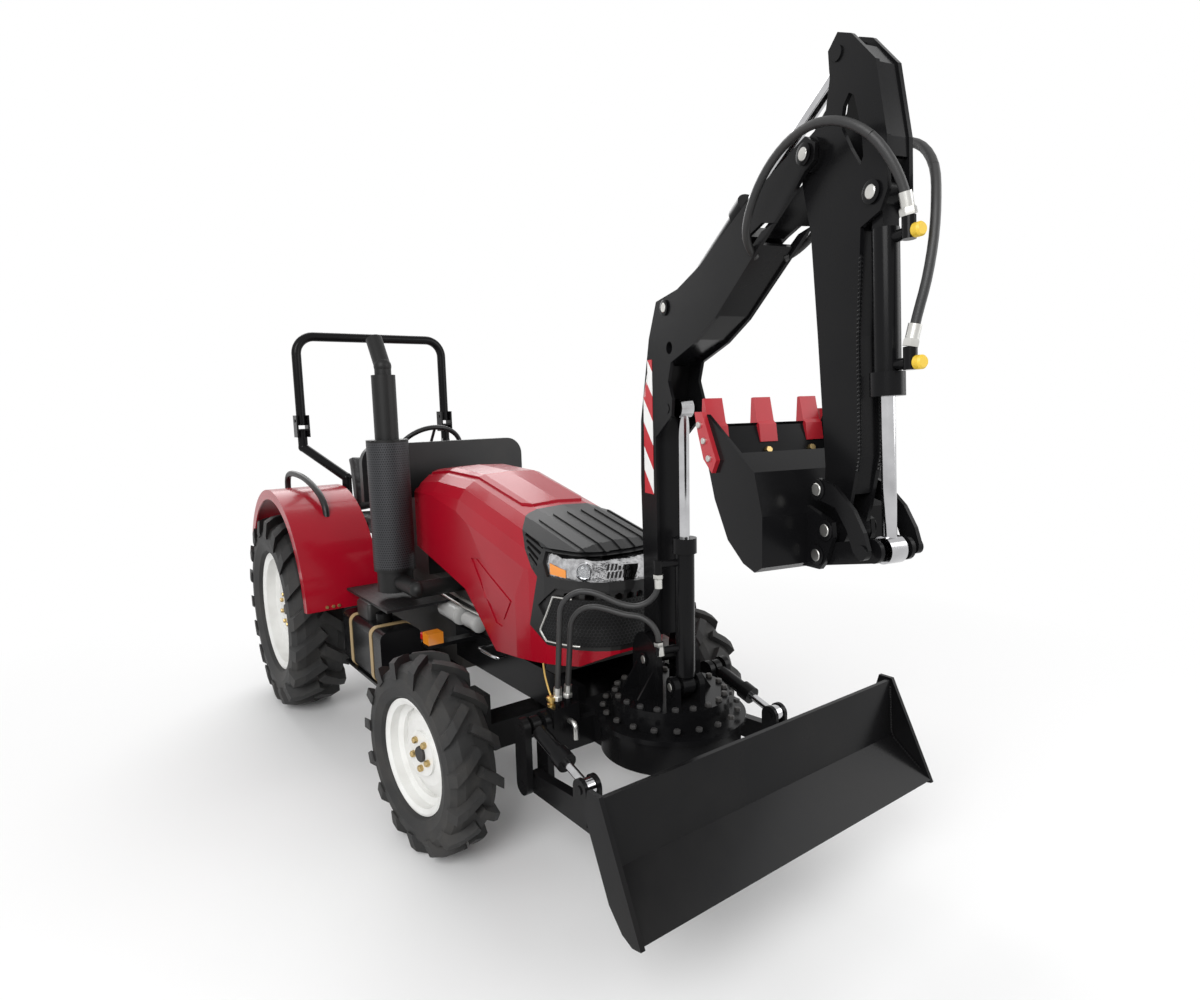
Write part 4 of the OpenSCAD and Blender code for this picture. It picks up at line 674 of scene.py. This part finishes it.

# filters and pipes beside the engine, under the hood's edge
engineParts = {
    "filters": [((-0.285, -0.206, 0.712), (-0.085, -0.206, 0.704), 0.041),
                ((-0.055, -0.200, 0.702), (0.085, -0.200, 0.698), 0.035)],
    "nose": [(0.55, 0), (0.9, 0.006), (1.0, 0.018)],  # share of the radius, and how far along
    "collar": [(1.0, 0.03), (1.06, 0.028), (1.06, 0.006), (0.7, 0)],  # the same, back from the end
    "pipes": [[(-0.44, -0.190, 0.770), (-0.30, -0.205, 0.768), (-0.12, -0.215, 0.762),
               (0.06, -0.210, 0.752), (0.16, -0.180, 0.735)],
              [(-0.40, -0.185, 0.800), (-0.26, -0.200, 0.796), (-0.08, -0.205, 0.788),
               (0.10, -0.195, 0.772), (0.20, -0.170, 0.760)]],
    "pipeRadius": 0.007}
for number, (start, end, radius) in enumerate(engineParts["filters"]):
    along = np.array(end) - np.array(start)
    span = float(np.linalg.norm(along))
    profile = [(radius * share, at) for share, at in engineParts["nose"]]
    profile += [(radius * share, span - at) for share, at in engineParts["collar"]]
    filterShape = scattered(turned(profile, 32), [start], [along])
    putMesh("engine_filter_%d" % number, *filterShape, "filterGrey", "tractor")
for number, route in enumerate(engineParts["pipes"]):
    pipe = swept(smoothRoute(route, 4), engineParts["pipeRadius"], 10)
    putMesh("engine_pipe_%d" % number, *pipe, "pinSteel", "tractor")

# chrome hand loop on the right frame rail
loopLook = {"radius": 0.007, "route": [
    (0.16, -0.206, 0.622), (0.16, -0.236, 0.622), (0.17, -0.252, 0.622), (0.245, -0.254, 0.623),
    (0.32, -0.252, 0.624), (0.33, -0.236, 0.624), (0.33, -0.206, 0.624)]}
railLoop = swept(smoothRoute(loopLook["route"], 5), loopLook["radius"], 12)
putMesh("rail_loop", *railLoop, "rodChrome", "tractor")

# red lens behind the amber side lamp
lampLow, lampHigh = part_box("side_lamp")
redLook = {"length": 0.050, "corner": 0.006, "down": 0.006, "wideShare": 0.8, "highShare": 0.7,
           "rows": ((-1.0, 0.82), (-0.88, 1.0), (0.02, 1.0))}  # places in lengths, and share of the loop
lampSize, lampMiddle = np.array(lampHigh - lampLow), np.array(lampHigh + lampLow) / 2
lensLoop = roundedLoop(lampSize[1] / 2 * redLook["wideShare"], lampSize[2] / 2 * redLook["highShare"],
                       redLook["corner"], 5)
lensMiddle = np.array([lampLow.x, lampMiddle[1], lampMiddle[2] - redLook["down"]])
lens = np.stack([np.column_stack([np.full(len(lensLoop), at * redLook["length"]), lensLoop * share])
                 for at, share in redLook["rows"]]) + lensMiddle
putMesh("side_lamp_red", lens, gridFaces(len(redLook["rows"]), len(lensLoop)), "redLens", "tractor")

# bolts of the bucket's side cutters and teeth
cutterLook = {"places": [(-0.955, 0.72), (-0.885, 0.60), (-0.815, 0.47)], "bucketLength": 0.330,
              "near": 0.5, "radius": 0.0085, "height": 0.006}  # places in bucket lengths, ahead and up
bucketPin = np.array(joints["bucket_curl"]["pos_m"])
cutterLow, cutterHigh = reach("bucket_teeth", bucketPin, armSide, cutterLook["near"])
flat = [(armAhead * u + np.array([0, 0, z])) * cutterLook["bucketLength"] for u, z in cutterLook["places"]]
places = [bucketPin + at + armSide * edge for edge in (cutterLow, cutterHigh) for at in flat]
axes = [armSide * side for side in (-1, 1) for at in flat]
cutterBolt = roundHead(cutterLook["radius"], cutterLook["height"])
putMesh("cutter_bolts", *scattered(cutterBolt, places, axes), "pinSteel", "bucket")

# a bolt under each tooth, through the bucket's lip
toothLook = {"places": (-0.15, -0.01, 0.13), "u": 0.62, "z": 1.545, "width": 0.019, "height": 0.011,
             "lean": (0.934, 0.35)}
lipWay = -(armAhead * toothLook["lean"][0] + np.array([0, 0, toothLook["lean"][1]]))
starts = np.array([onArm(toothLook["u"], v, toothLook["z"]) for v in toothLook["places"]])
found = skin(["bucket"], starts, lipWay)
toothBolt = hexHead(toothLook["width"], toothLook["height"])
putMesh("tooth_bolts", *scattered(toothBolt, found, [-lipWay] * len(found)), "zincGold", "bucket")


rayReach, flankReach = 0.8, 0.6  # where rays start: from the nose's axis, and from the middle plane


def noseRays(angles, heights):
    # rays that look level at the nose's upright axis from outside
    angles, heights = np.broadcast_arrays(np.radians(angles), heights)
    out = np.stack([np.cos(angles), np.sin(angles), 0 * angles], -1)
    return np.stack([noseAxis + 0 * angles, 0 * angles, heights], -1) + out * rayReach, out


def nosePatch(names, angles, heights, lift, thick=0.003):
    # plate laid on the nose: where level rays meet it, moved out by the lift
    starts, out = noseRays(angles, heights)
    found = skin(names, starts, -out)
    return slab(found + out * lift, found + out * (lift - thick))


def around(values, window):
    # for each place of a grid, the values within the window round it
    rows, columns = values.shape
    padded = np.pad(values, window, mode="edge")
    shifts = range(2 * window + 1)
    return [padded[i:i + rows, j:j + columns] for i in shifts for j in shifts]


def bridged(names, angles, heights, window):
    # the same, but holes are bridged: each place takes the furthest reach within the window, then the mean
    starts, out = noseRays(angles, heights)
    middle = starts - out * rayReach
    far = np.nan_to_num(np.sum((skin(names, starts, -out) - middle) * out, axis=-1))
    most = np.max(around(far, window), axis=0)
    return middle + out * np.mean(around(most, window), axis=0)[..., None], out


# headlamps: amber corner lens, round lamp in a ring, and thin dark strips on the bright chrome, painted shade
# for the gaps between its ribs
lampLook = {"amber": (-63.0, -48.5), "amberLow": (1.050, 1.042), "amberHigh": (1.090, 1.070),
            "amberLift": 0.003, "round": -34.5, "roundUp": 1.070, "lensRadius": 0.027, "lensOut": 0.004,
            "lensDome": 0.45,
            "ringRadius": 0.033, "ringBack": -0.006, "ringFront": 0.005, "ringLip": (1.08, 0.008),
            "gapShades": np.arange(7.5, 20.1, 2.5), "barTurn": 1.4, "barSlant": 0.9, "barLift": 0.0015,
            "barRows": ((1.046, 1.069), (1.075, 1.098))}
for side, sign in (("right", 1), ("left", -1)):
    turn = np.linspace(*lampLook["amber"], 9) * sign
    share = np.linspace(0, 1, 6)[:, None]
    low, high = (np.linspace(*lampLook[k], 9) for k in ("amberLow", "amberHigh"))
    if sign < 0:
        turn, low, high = turn[::-1], low[::-1], high[::-1]
    amber = nosePatch(["headlamps", "nose"], turn[None], low + (high - low) * share, lampLook["amberLift"])
    putMesh("lamp_amber_" + side, *amber, "amberLens", "hood")
    starts, out = noseRays(np.array([lampLook["round"] * sign]), lampLook["roundUp"])
    seat = skin(["headlamps"], starts, -out)
    r = lampLook["lensRadius"]
    dome = turned([(r * math.cos(t), lampLook["lensOut"] + r * lampLook["lensDome"] * math.sin(t))
                   for t in np.linspace(0, 1.5, 9)], 32)
    putMesh("lamp_lens_" + side, *scattered(dome, seat, out), "lensGlass", "hood")
    wide, behind, front = (lampLook[k] for k in ("ringRadius", "ringBack", "ringFront"))
    lip = (r * lampLook["ringLip"][0], lampLook["ringLip"][1])
    ring = turned([(wide, behind), (wide, front), lip, (r, front), (r, behind)], 40)
    putMesh("lamp_ring_" + side, *scattered(ring, seat, out), "rodChrome", "hood")
# thin dark strips laid on the chrome: painted shade for the gaps between its ribs
gapShades = []
share = np.array([[0.0], [0.5], [1.0]])
for low, high in lampLook["barRows"]:
    for turn in (*-lampLook["gapShades"][::-1], *lampLook["gapShades"]):
        angles = turn + lampLook["barSlant"] * share + np.array([[-0.5, 0.5]]) * lampLook["barTurn"]
        heights = low + (high - low) * share + np.zeros((3, 2))
        gapShades.append(nosePatch(["headlamps"], angles, heights, lampLook["barLift"]))
gapShades = [bar for bar in gapShades if np.isfinite(bar[0]).all()]
putMesh("lamp_gap_shade", *joined(gapShades), "blackPlastic", "hood")

# fine honeycomb behind a bright trim on the grille
grilleLook = {"low": 0.800, "high": 0.968, "edgeUp": (0.800, 0.838, 0.968), "edge": (66.0, 72.0, 60.0),
              "columns": 97, "rows": 25, "lift": 0.003, "trim": 0.0045, "trimLow": 20, "trimHigh": 14,
              "window": 4}
up = np.linspace(grilleLook["low"], grilleLook["high"], grilleLook["rows"])[:, None]
edge = np.interp(up, grilleLook["edgeUp"], grilleLook["edge"])
across = np.linspace(-1, 1, grilleLook["columns"])[None]
noseSkin = ["grille", "nose", "hood"]
face, out = bridged(noseSkin, edge * across, up + 0 * across, grilleLook["window"])
front = face + out * grilleLook["lift"]
putMesh("grille_mesh", *slab(front, face), "honeycomb", "hood")
for side, half in (("right", front), ("left", front[:, ::-1])):
    # the trim goes in along the foot, up the side and in along the top
    rim = np.vstack([half[0, grilleLook["trimLow"]::-1], half[:, 0], half[-1, 1:grilleLook["trimHigh"]]])
    putMesh("grille_trim_" + side, *swept(rim, grilleLook["trim"], 8), "pinSteel", "hood")

# louvre slats on both flanks of the nose
louvreLook = {"x": (0.600, 0.668), "top": 1.122, "fall": 0.30, "count": 6, "pitch": 0.013, "high": 0.006,
              "lift": 0.0015, "sink": 0.002}
for side, sign in (("right", -1), ("left", 1)):
    slats = []
    for number in range(louvreLook["count"]):
        x = np.linspace(*louvreLook["x"], 7)[None] * np.ones((2, 1))
        z = louvreLook["top"] - number * louvreLook["pitch"] - louvreLook["fall"] * (x - louvreLook["x"][0])
        z = z + np.array([[-0.5], [0.5]]) * louvreLook["high"] * sign * -1
        way = np.array([0.0, -sign, 0.0])
        found = skin(["nose"], np.stack([x, x * 0 + sign * flankReach, z], -1), way)
        slats.append(slab(found - way * louvreLook["lift"], found + way * louvreLook["sink"]))
    putMesh("nose_louvre_" + side, *joined(slats), "castIron", "hood")

# grab handle on the right fender, and three plated bolts at its foot
handleLook = {"radius": 0.017, "route": [
    (-1.035, -0.52, 1.100), (-1.052, -0.52, 1.155), (-1.110, -0.525, 1.212), (-1.210, -0.535, 1.260),
    (-1.340, -0.545, 1.294), (-1.480, -0.555, 1.308), (-1.590, -0.560, 1.300), (-1.640, -0.560, 1.262),
    (-1.652, -0.560, 1.180)], "bolts": [(-0.782, y, 0.676) for y in (-0.622, -0.590, -0.562)],
    "boltWidth": 0.016, "boltHeight": 0.009, "boltAxis": (0.99, 0, 0.11)}
handle = swept(smoothRoute(handleLook["route"], 4), handleLook["radius"], 14)
putMesh("fender_handle", *handle, "blackPlastic", "tractor")
fenderBolt = hexHead(handleLook["boltWidth"], handleLook["boltHeight"])
fenderBolts = scattered(fenderBolt, handleLook["bolts"], [handleLook["boltAxis"]] * len(handleLook["bolts"]))
putMesh("fender_bolts", *fenderBolts, "zincGold", "tractor")

# weld beads down the dipper's front and inside the blade's end plates
beadLook = {"radius": 0.004, "dipperAcross": (-0.030, 0.030), "dipperUp": (1.50, 1.96), "dipperStart": 1.3,
            "bladeAcross": (-0.622, 0.622), "bladeUp": (0.40, 0.66), "bladeStart": 2.5}
heights = np.linspace(*beadLook["dipperUp"], 12)
beads = []
for v in beadLook["dipperAcross"]:
    starts = np.array([onArm(beadLook["dipperStart"], v, z) for z in heights])
    beads.append(beaded(skin(["dipper"], starts, -armAhead), beadLook["radius"]))
putMesh("dipper_beads", *joined(beads), "blackPaint", "dipper")
heights = np.linspace(*beadLook["bladeUp"], 14)
beads = []
for y in beadLook["bladeAcross"]:
    starts = np.stack([0 * heights + beadLook["bladeStart"], 0 * heights + y, heights], -1)
    beads.append(beaded(skin(["blade"], starts, (-1, 0, 0)), beadLook["radius"]))
putMesh("blade_beads", *joined(beads), "blackPaint", "blade")

# brass tap beside the hose block, with its lever and a bright elbow below
tapLook = {"place": (0.922, -0.360, 0.637), "leverRadius": 0.0035, "elbowRadius": 0.010,
           "profile": [(0.016, 0), (0.016, 0.010), (0.011, 0.012), (0.011, 0.022), (0.018, 0.024),
                       (0.018, 0.034), (0.008, 0.038)],
           "lever": [(0.922, -0.360, 0.668), (0.905, -0.360, 0.690), (0.880, -0.358, 0.735),
                     (0.868, -0.356, 0.775)],
           "elbow": [(0.945, -0.312, 0.585), (0.972, -0.312, 0.585), (0.986, -0.312, 0.580),
                     (0.992, -0.312, 0.566), (0.992, -0.312, 0.530)]}
tap = scattered(turned(tapLook["profile"], 12), [tapLook["place"]], [(0, 0, 1)])
putMesh("brass_tap", *tap, "brass", "tractor")
lever = swept(smoothRoute(tapLook["lever"], 4), tapLook["leverRadius"], 8)
putMesh("tap_lever", *lever, "brass", "tractor")
elbow = swept(smoothRoute(tapLook["elbow"], 4), tapLook["elbowRadius"], 14)
putMesh("frame_elbow", *elbow, "pinSteel", "tractor")

# plain striped panel where the photo has its sign on the boom
signLook = {"u": (-0.042, 0.022), "z": (1.36, 1.80), "lift": 0.0012, "sink": 0.001, "start": -0.4}
u, z = np.meshgrid(np.linspace(*signLook["u"], 5), np.linspace(*signLook["z"], 12))
starts = onArm(u[..., None], signLook["start"], 0.0) + np.array([0, 0, 1.0]) * z[..., None]
found = skin(["boom"], starts, armSide)
sign = slab(found - armSide * signLook["lift"], found + armSide * signLook["sink"])
putMesh("boom_panel", *sign, "signStripes", "boom")

# box on the side tank's top
boxLook = {"middle": (-0.50, -0.475), "half": (0.085, 0.060), "corner": 0.018,
           "rows": ((0.669, 1.0), (0.735, 1.0), (0.742, 0.96), (0.748, 0.86))}  # height, share of loop
loop = roundedLoop(*boxLook["half"], boxLook["corner"], 6)
rows = np.stack([np.column_stack([loop * share + np.array(boxLook["middle"]), np.full(len(loop), z)])
                 for z, share in boxLook["rows"]])
putMesh("tank_box", rows, gridFaces(len(boxLook["rows"]), len(loop)), "blackPlastic", "tractor")

# raised panel on each flank of the hood: four corners, blended both ways, laid on the flank
panelLook = {"corners": ((0.215, 1.030), (0.500, 0.905), (0.440, 0.820), (0.290, 0.880)), "lift": 0.004,
             "rows": 12}
first, second, third, fourth = np.array(panelLook["corners"])
a, b = np.meshgrid(np.linspace(0, 1, panelLook["rows"]), np.linspace(0, 1, panelLook["rows"]))
a, b = a[..., None], b[..., None]
flat = fourth * (1 - a) * (1 - b) + third * a * (1 - b) + second * a * b + first * (1 - a) * b
for side, sign in (("right", -1), ("left", 1)):
    shape = flat if sign < 0 else flat[:, ::-1]
    starts = np.stack([shape[..., 0], 0 * shape[..., 0] + sign * flankReach, shape[..., 1]], -1)
    found = skin(["hood"], starts, (0.0, -sign, 0.0))
    push = np.array([0.0, sign, 0.0]) * panelLook["lift"]
    putMesh("hood_panel_" + side, *slab(found + push, found - push), "redPaint", "hood")


def corners(mesh):
    # a mesh's corners as an array
    found = np.zeros(len(mesh.vertices) * 3)
    mesh.vertices.foreach_get("co", found)
    return found.reshape(-1, 3)


def swapMesh(piece):
    # the modifiers' result becomes the piece's own mesh
    shown = piece.evaluated_get(bpy.context.evaluated_depsgraph_get())
    mesh = bpy.data.meshes.new_from_object(shown)
    piece.modifiers.clear()
    piece.data = mesh


def makeCushion(name, low, high, lean, hinge, look):
    # stuffed pad: a box is remeshed, blown up as cloth, held to the cap, smoothed, leaned about its hinge
    low, high = np.array(low) + look["shrink"], np.array(high) - look["shrink"]
    corner = np.array([[0, 0, 0], [1, 0, 0], [1, 1, 0], [0, 1, 0],
                       [0, 0, 1], [1, 0, 1], [1, 1, 1], [0, 1, 1]])
    faces = [[3, 2, 1, 0], [4, 5, 6, 7], [0, 1, 5, 4], [1, 2, 6, 5], [2, 3, 7, 6], [3, 0, 4, 7]]
    pad = putMesh(name, low + corner * (high - low), faces, "seatVinyl")
    remesh = pad.modifiers.new("voxels", "REMESH")
    remesh.mode = "VOXEL"
    remesh.voxel_size = look["voxel"]
    swapMesh(pad)
    before = corners(pad.data)
    cloth = pad.modifiers.new("stuffing", "CLOTH")
    cloth.settings.use_pressure = True
    cloth.settings.uniform_pressure_force = look["pressure"]
    cloth.settings.effector_weights.gravity = 0
    cloth.point_cache.frame_start = 1
    cloth.point_cache.frame_end = look["frames"]
    for step in range(1, look["frames"] + 1):
        bpy.context.scene.frame_set(step)
    swapMesh(pad)
    moved = corners(pad.data) - before
    size = np.linalg.norm(moved, axis=1)[:, None]
    moved *= np.minimum(1, look["cap"] / np.maximum(size, 1e-9))
    pad.data.vertices.foreach_set("co", (before + moved).ravel())
    bpy.context.scene.frame_set(1)
    smooth = pad.modifiers.new("smooth", "SMOOTH")
    smooth.iterations = look["smooth"]
    rounder = pad.modifiers.new("rounder", "SUBSURF")
    rounder.levels = rounder.render_levels = 1
    swapMesh(pad)
    place = corners(pad.data) - hinge
    turn = math.radians(lean)
    spin = np.array([[math.cos(turn), 0, -math.sin(turn)], [0, 1, 0], [math.sin(turn), 0, math.cos(turn)]])
    pad.data.vertices.foreach_set("co", (place @ spin.T + hinge).ravel())
    pad.data.polygons.foreach_set("use_smooth", [True] * len(pad.data.polygons))
    pad.data.update()
    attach(pad, "tractor")
    return pad


seatLook = {"shrink": 0.008, "voxel": 0.006, "pressure": 4.0, "frames": 20, "cap": 0.012, "smooth": 6,
            "fill": 0.7, "top": 1.042, "thick": 0.110, "length": 0.430, "backHigh": 0.400, "backThick": 0.090,
            "backHalf": 0.215, "backUp": 0.045, "lean": 10, "standCorner": 0.02, "standLap": 0.004}
seatLow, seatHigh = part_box("seat")
panBack = seatHigh.x - seatLook["length"]
panLow = seatLook["top"] - seatLook["thick"]
hinge = np.array([panBack, 0, seatLook["top"] - seatLook["thick"] / 2])
pan = makeCushion("seat_cushion", (panBack, seatLow.y, panLow), (seatHigh.x, seatHigh.y, seatLook["top"]),
                  0, np.zeros(3), seatLook)
makeCushion("seat_backrest", (panBack, -seatLook["backHalf"], hinge[2] + seatLook["backUp"]),
            (panBack + seatLook["backThick"], seatLook["backHalf"], hinge[2] + seatLook["backHigh"]),
            seatLook["lean"], hinge, seatLook)
stand = roundedLoop(seatLook["length"] / 4, (seatHigh.y - seatLow.y) / 4, seatLook["standCorner"], 5)
stand = stand + np.array([panBack + seatLook["length"] / 2, 0])
rows = np.stack([np.column_stack([stand, np.full(len(stand), z)])
                 for z in (seatLow.z, panLow + seatLook["standLap"])])
putMesh("seat_stand", rows, gridFaces(2, len(stand)), "castIron", "tractor")
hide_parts("seat")
print("details placed")


def makeFloor(look):
    # pale floor under the object; further out it goes over to plain white for the rays that see it
    size = look["size"]
    mesh = bpy.data.meshes.new("studioFloor")
    square = [(-size, -size, 0), (size, -size, 0), (size, size, 0), (-size, size, 0)]
    mesh.from_pydata(square, [], [(0, 1, 2, 3)])
    floor = bpy.data.objects.new("studioFloor", mesh)
    bpy.context.scene.collection.objects.link(floor)
    material, shader, coords = startFinish("floorPale", {"Base Color": (*look["shade"], 1), "Roughness": 0.7,
                                                         "Specular IOR Level": 0.1})
    tree = material.node_tree
    flat = coords.part("X") * coords.part("X") + coords.part("Y") * coords.part("Y")
    far = ((flat.calc("SQRT", flat) - look["near"]) / (look["far"] - look["near"])).limited()
    paths = tree.nodes.new("ShaderNodeLightPath").outputs
    camera, glossy, clear = (Wire(tree, paths["Is %s Ray" % k]) for k in ("Camera", "Glossy", "Transmission"))
    seen = (camera + glossy + clear).limited()
    white = coords.add("ShaderNodeEmission", None, {"Color": (1, 1, 1, 1), "Strength": 1.0})
    plain = Wire(tree, shader.outputs[0])
    both = coords.add("ShaderNodeMixShader", None, {0: far * seen, 1: plain, 2: white})
    tree.links.new(both.socket, tree.nodes["Material Output"].inputs["Surface"])
    mesh.materials.append(material)


def makeWorld(level):
    # white where the camera, glossy and clear rays look, a plain level for the light itself
    world = bpy.data.worlds.new("studio")
    bpy.context.scene.world = world
    world.use_nodes = True
    tree = world.node_tree
    back = tree.nodes["Background"]
    back.inputs["Color"].default_value = (1, 1, 1, 1)
    paths = tree.nodes.new("ShaderNodeLightPath").outputs
    camera, glossy, clear = (Wire(tree, paths["Is %s Ray" % k]) for k in ("Camera", "Glossy", "Transmission"))
    strength = (camera + glossy + clear).limited() * (1.0 - level) + level
    tree.links.new(strength.socket, back.inputs["Strength"])


lights = {"keyLight": {"place": (4.5, -5.5, 5.0), "size": 4.0, "power": 420},
          "fillLight": {"place": (5.0, 4.5, 3.5), "size": 4.0, "power": 160},
          "backLight": {"place": (-5.0, 1.0, 5.0), "size": 5.0, "power": 220}}
for name, look in lights.items():
    lamp = bpy.data.lights.new(name, "AREA")
    lamp.energy = look["power"]
    lamp.size = look["size"]
    light = bpy.data.objects.new(name, lamp)
    light.location = look["place"]
    light.rotation_euler = (Vector((0, 0, 0.8)) - Vector(look["place"])).to_track_quat("-Z", "Y").to_euler()
    bpy.context.scene.collection.objects.link(light)
makeFloor({"size": 40.0, "shade": (0.86, 0.86, 0.86), "near": 1.6, "far": 4.2})
makeWorld(0.55)

# the camera stands where the photograph's did
cameraLook = {"place": (2.9896, -1.6391, 1.659), "yaw": 143.94, "pitch": -7.34, "roll": -1.469,
              "focalPixels": 738.475, "frameWidth": 1200, "sensor": 36.0}


def makeCamera(look):
    yaw, pitch, roll = (math.radians(look[k]) for k in ("yaw", "pitch", "roll"))
    ahead = Vector((math.cos(pitch) * math.cos(yaw), math.cos(pitch) * math.sin(yaw), math.sin(pitch)))
    right = ahead.cross(Vector((0, 0, 1))).normalized()
    up = right.cross(ahead)
    turnedRight = right * math.cos(roll) + up * math.sin(roll)
    turnedUp = up * math.cos(roll) - right * math.sin(roll)
    data = bpy.data.cameras.new("photoCamera")
    data.sensor_width = look["sensor"]
    data.lens = look["focalPixels"] / look["frameWidth"] * look["sensor"]
    camera = bpy.data.objects.new("photoCamera", data)
    camera.matrix_world = Matrix((turnedRight, turnedUp, -ahead)).transposed().to_4x4()
    camera.location = look["place"]
    bpy.context.scene.collection.objects.link(camera)
    bpy.context.scene.camera = camera


makeCamera(cameraLook)
bpy.context.scene.view_settings.view_transform = "Standard"
print("stage set")
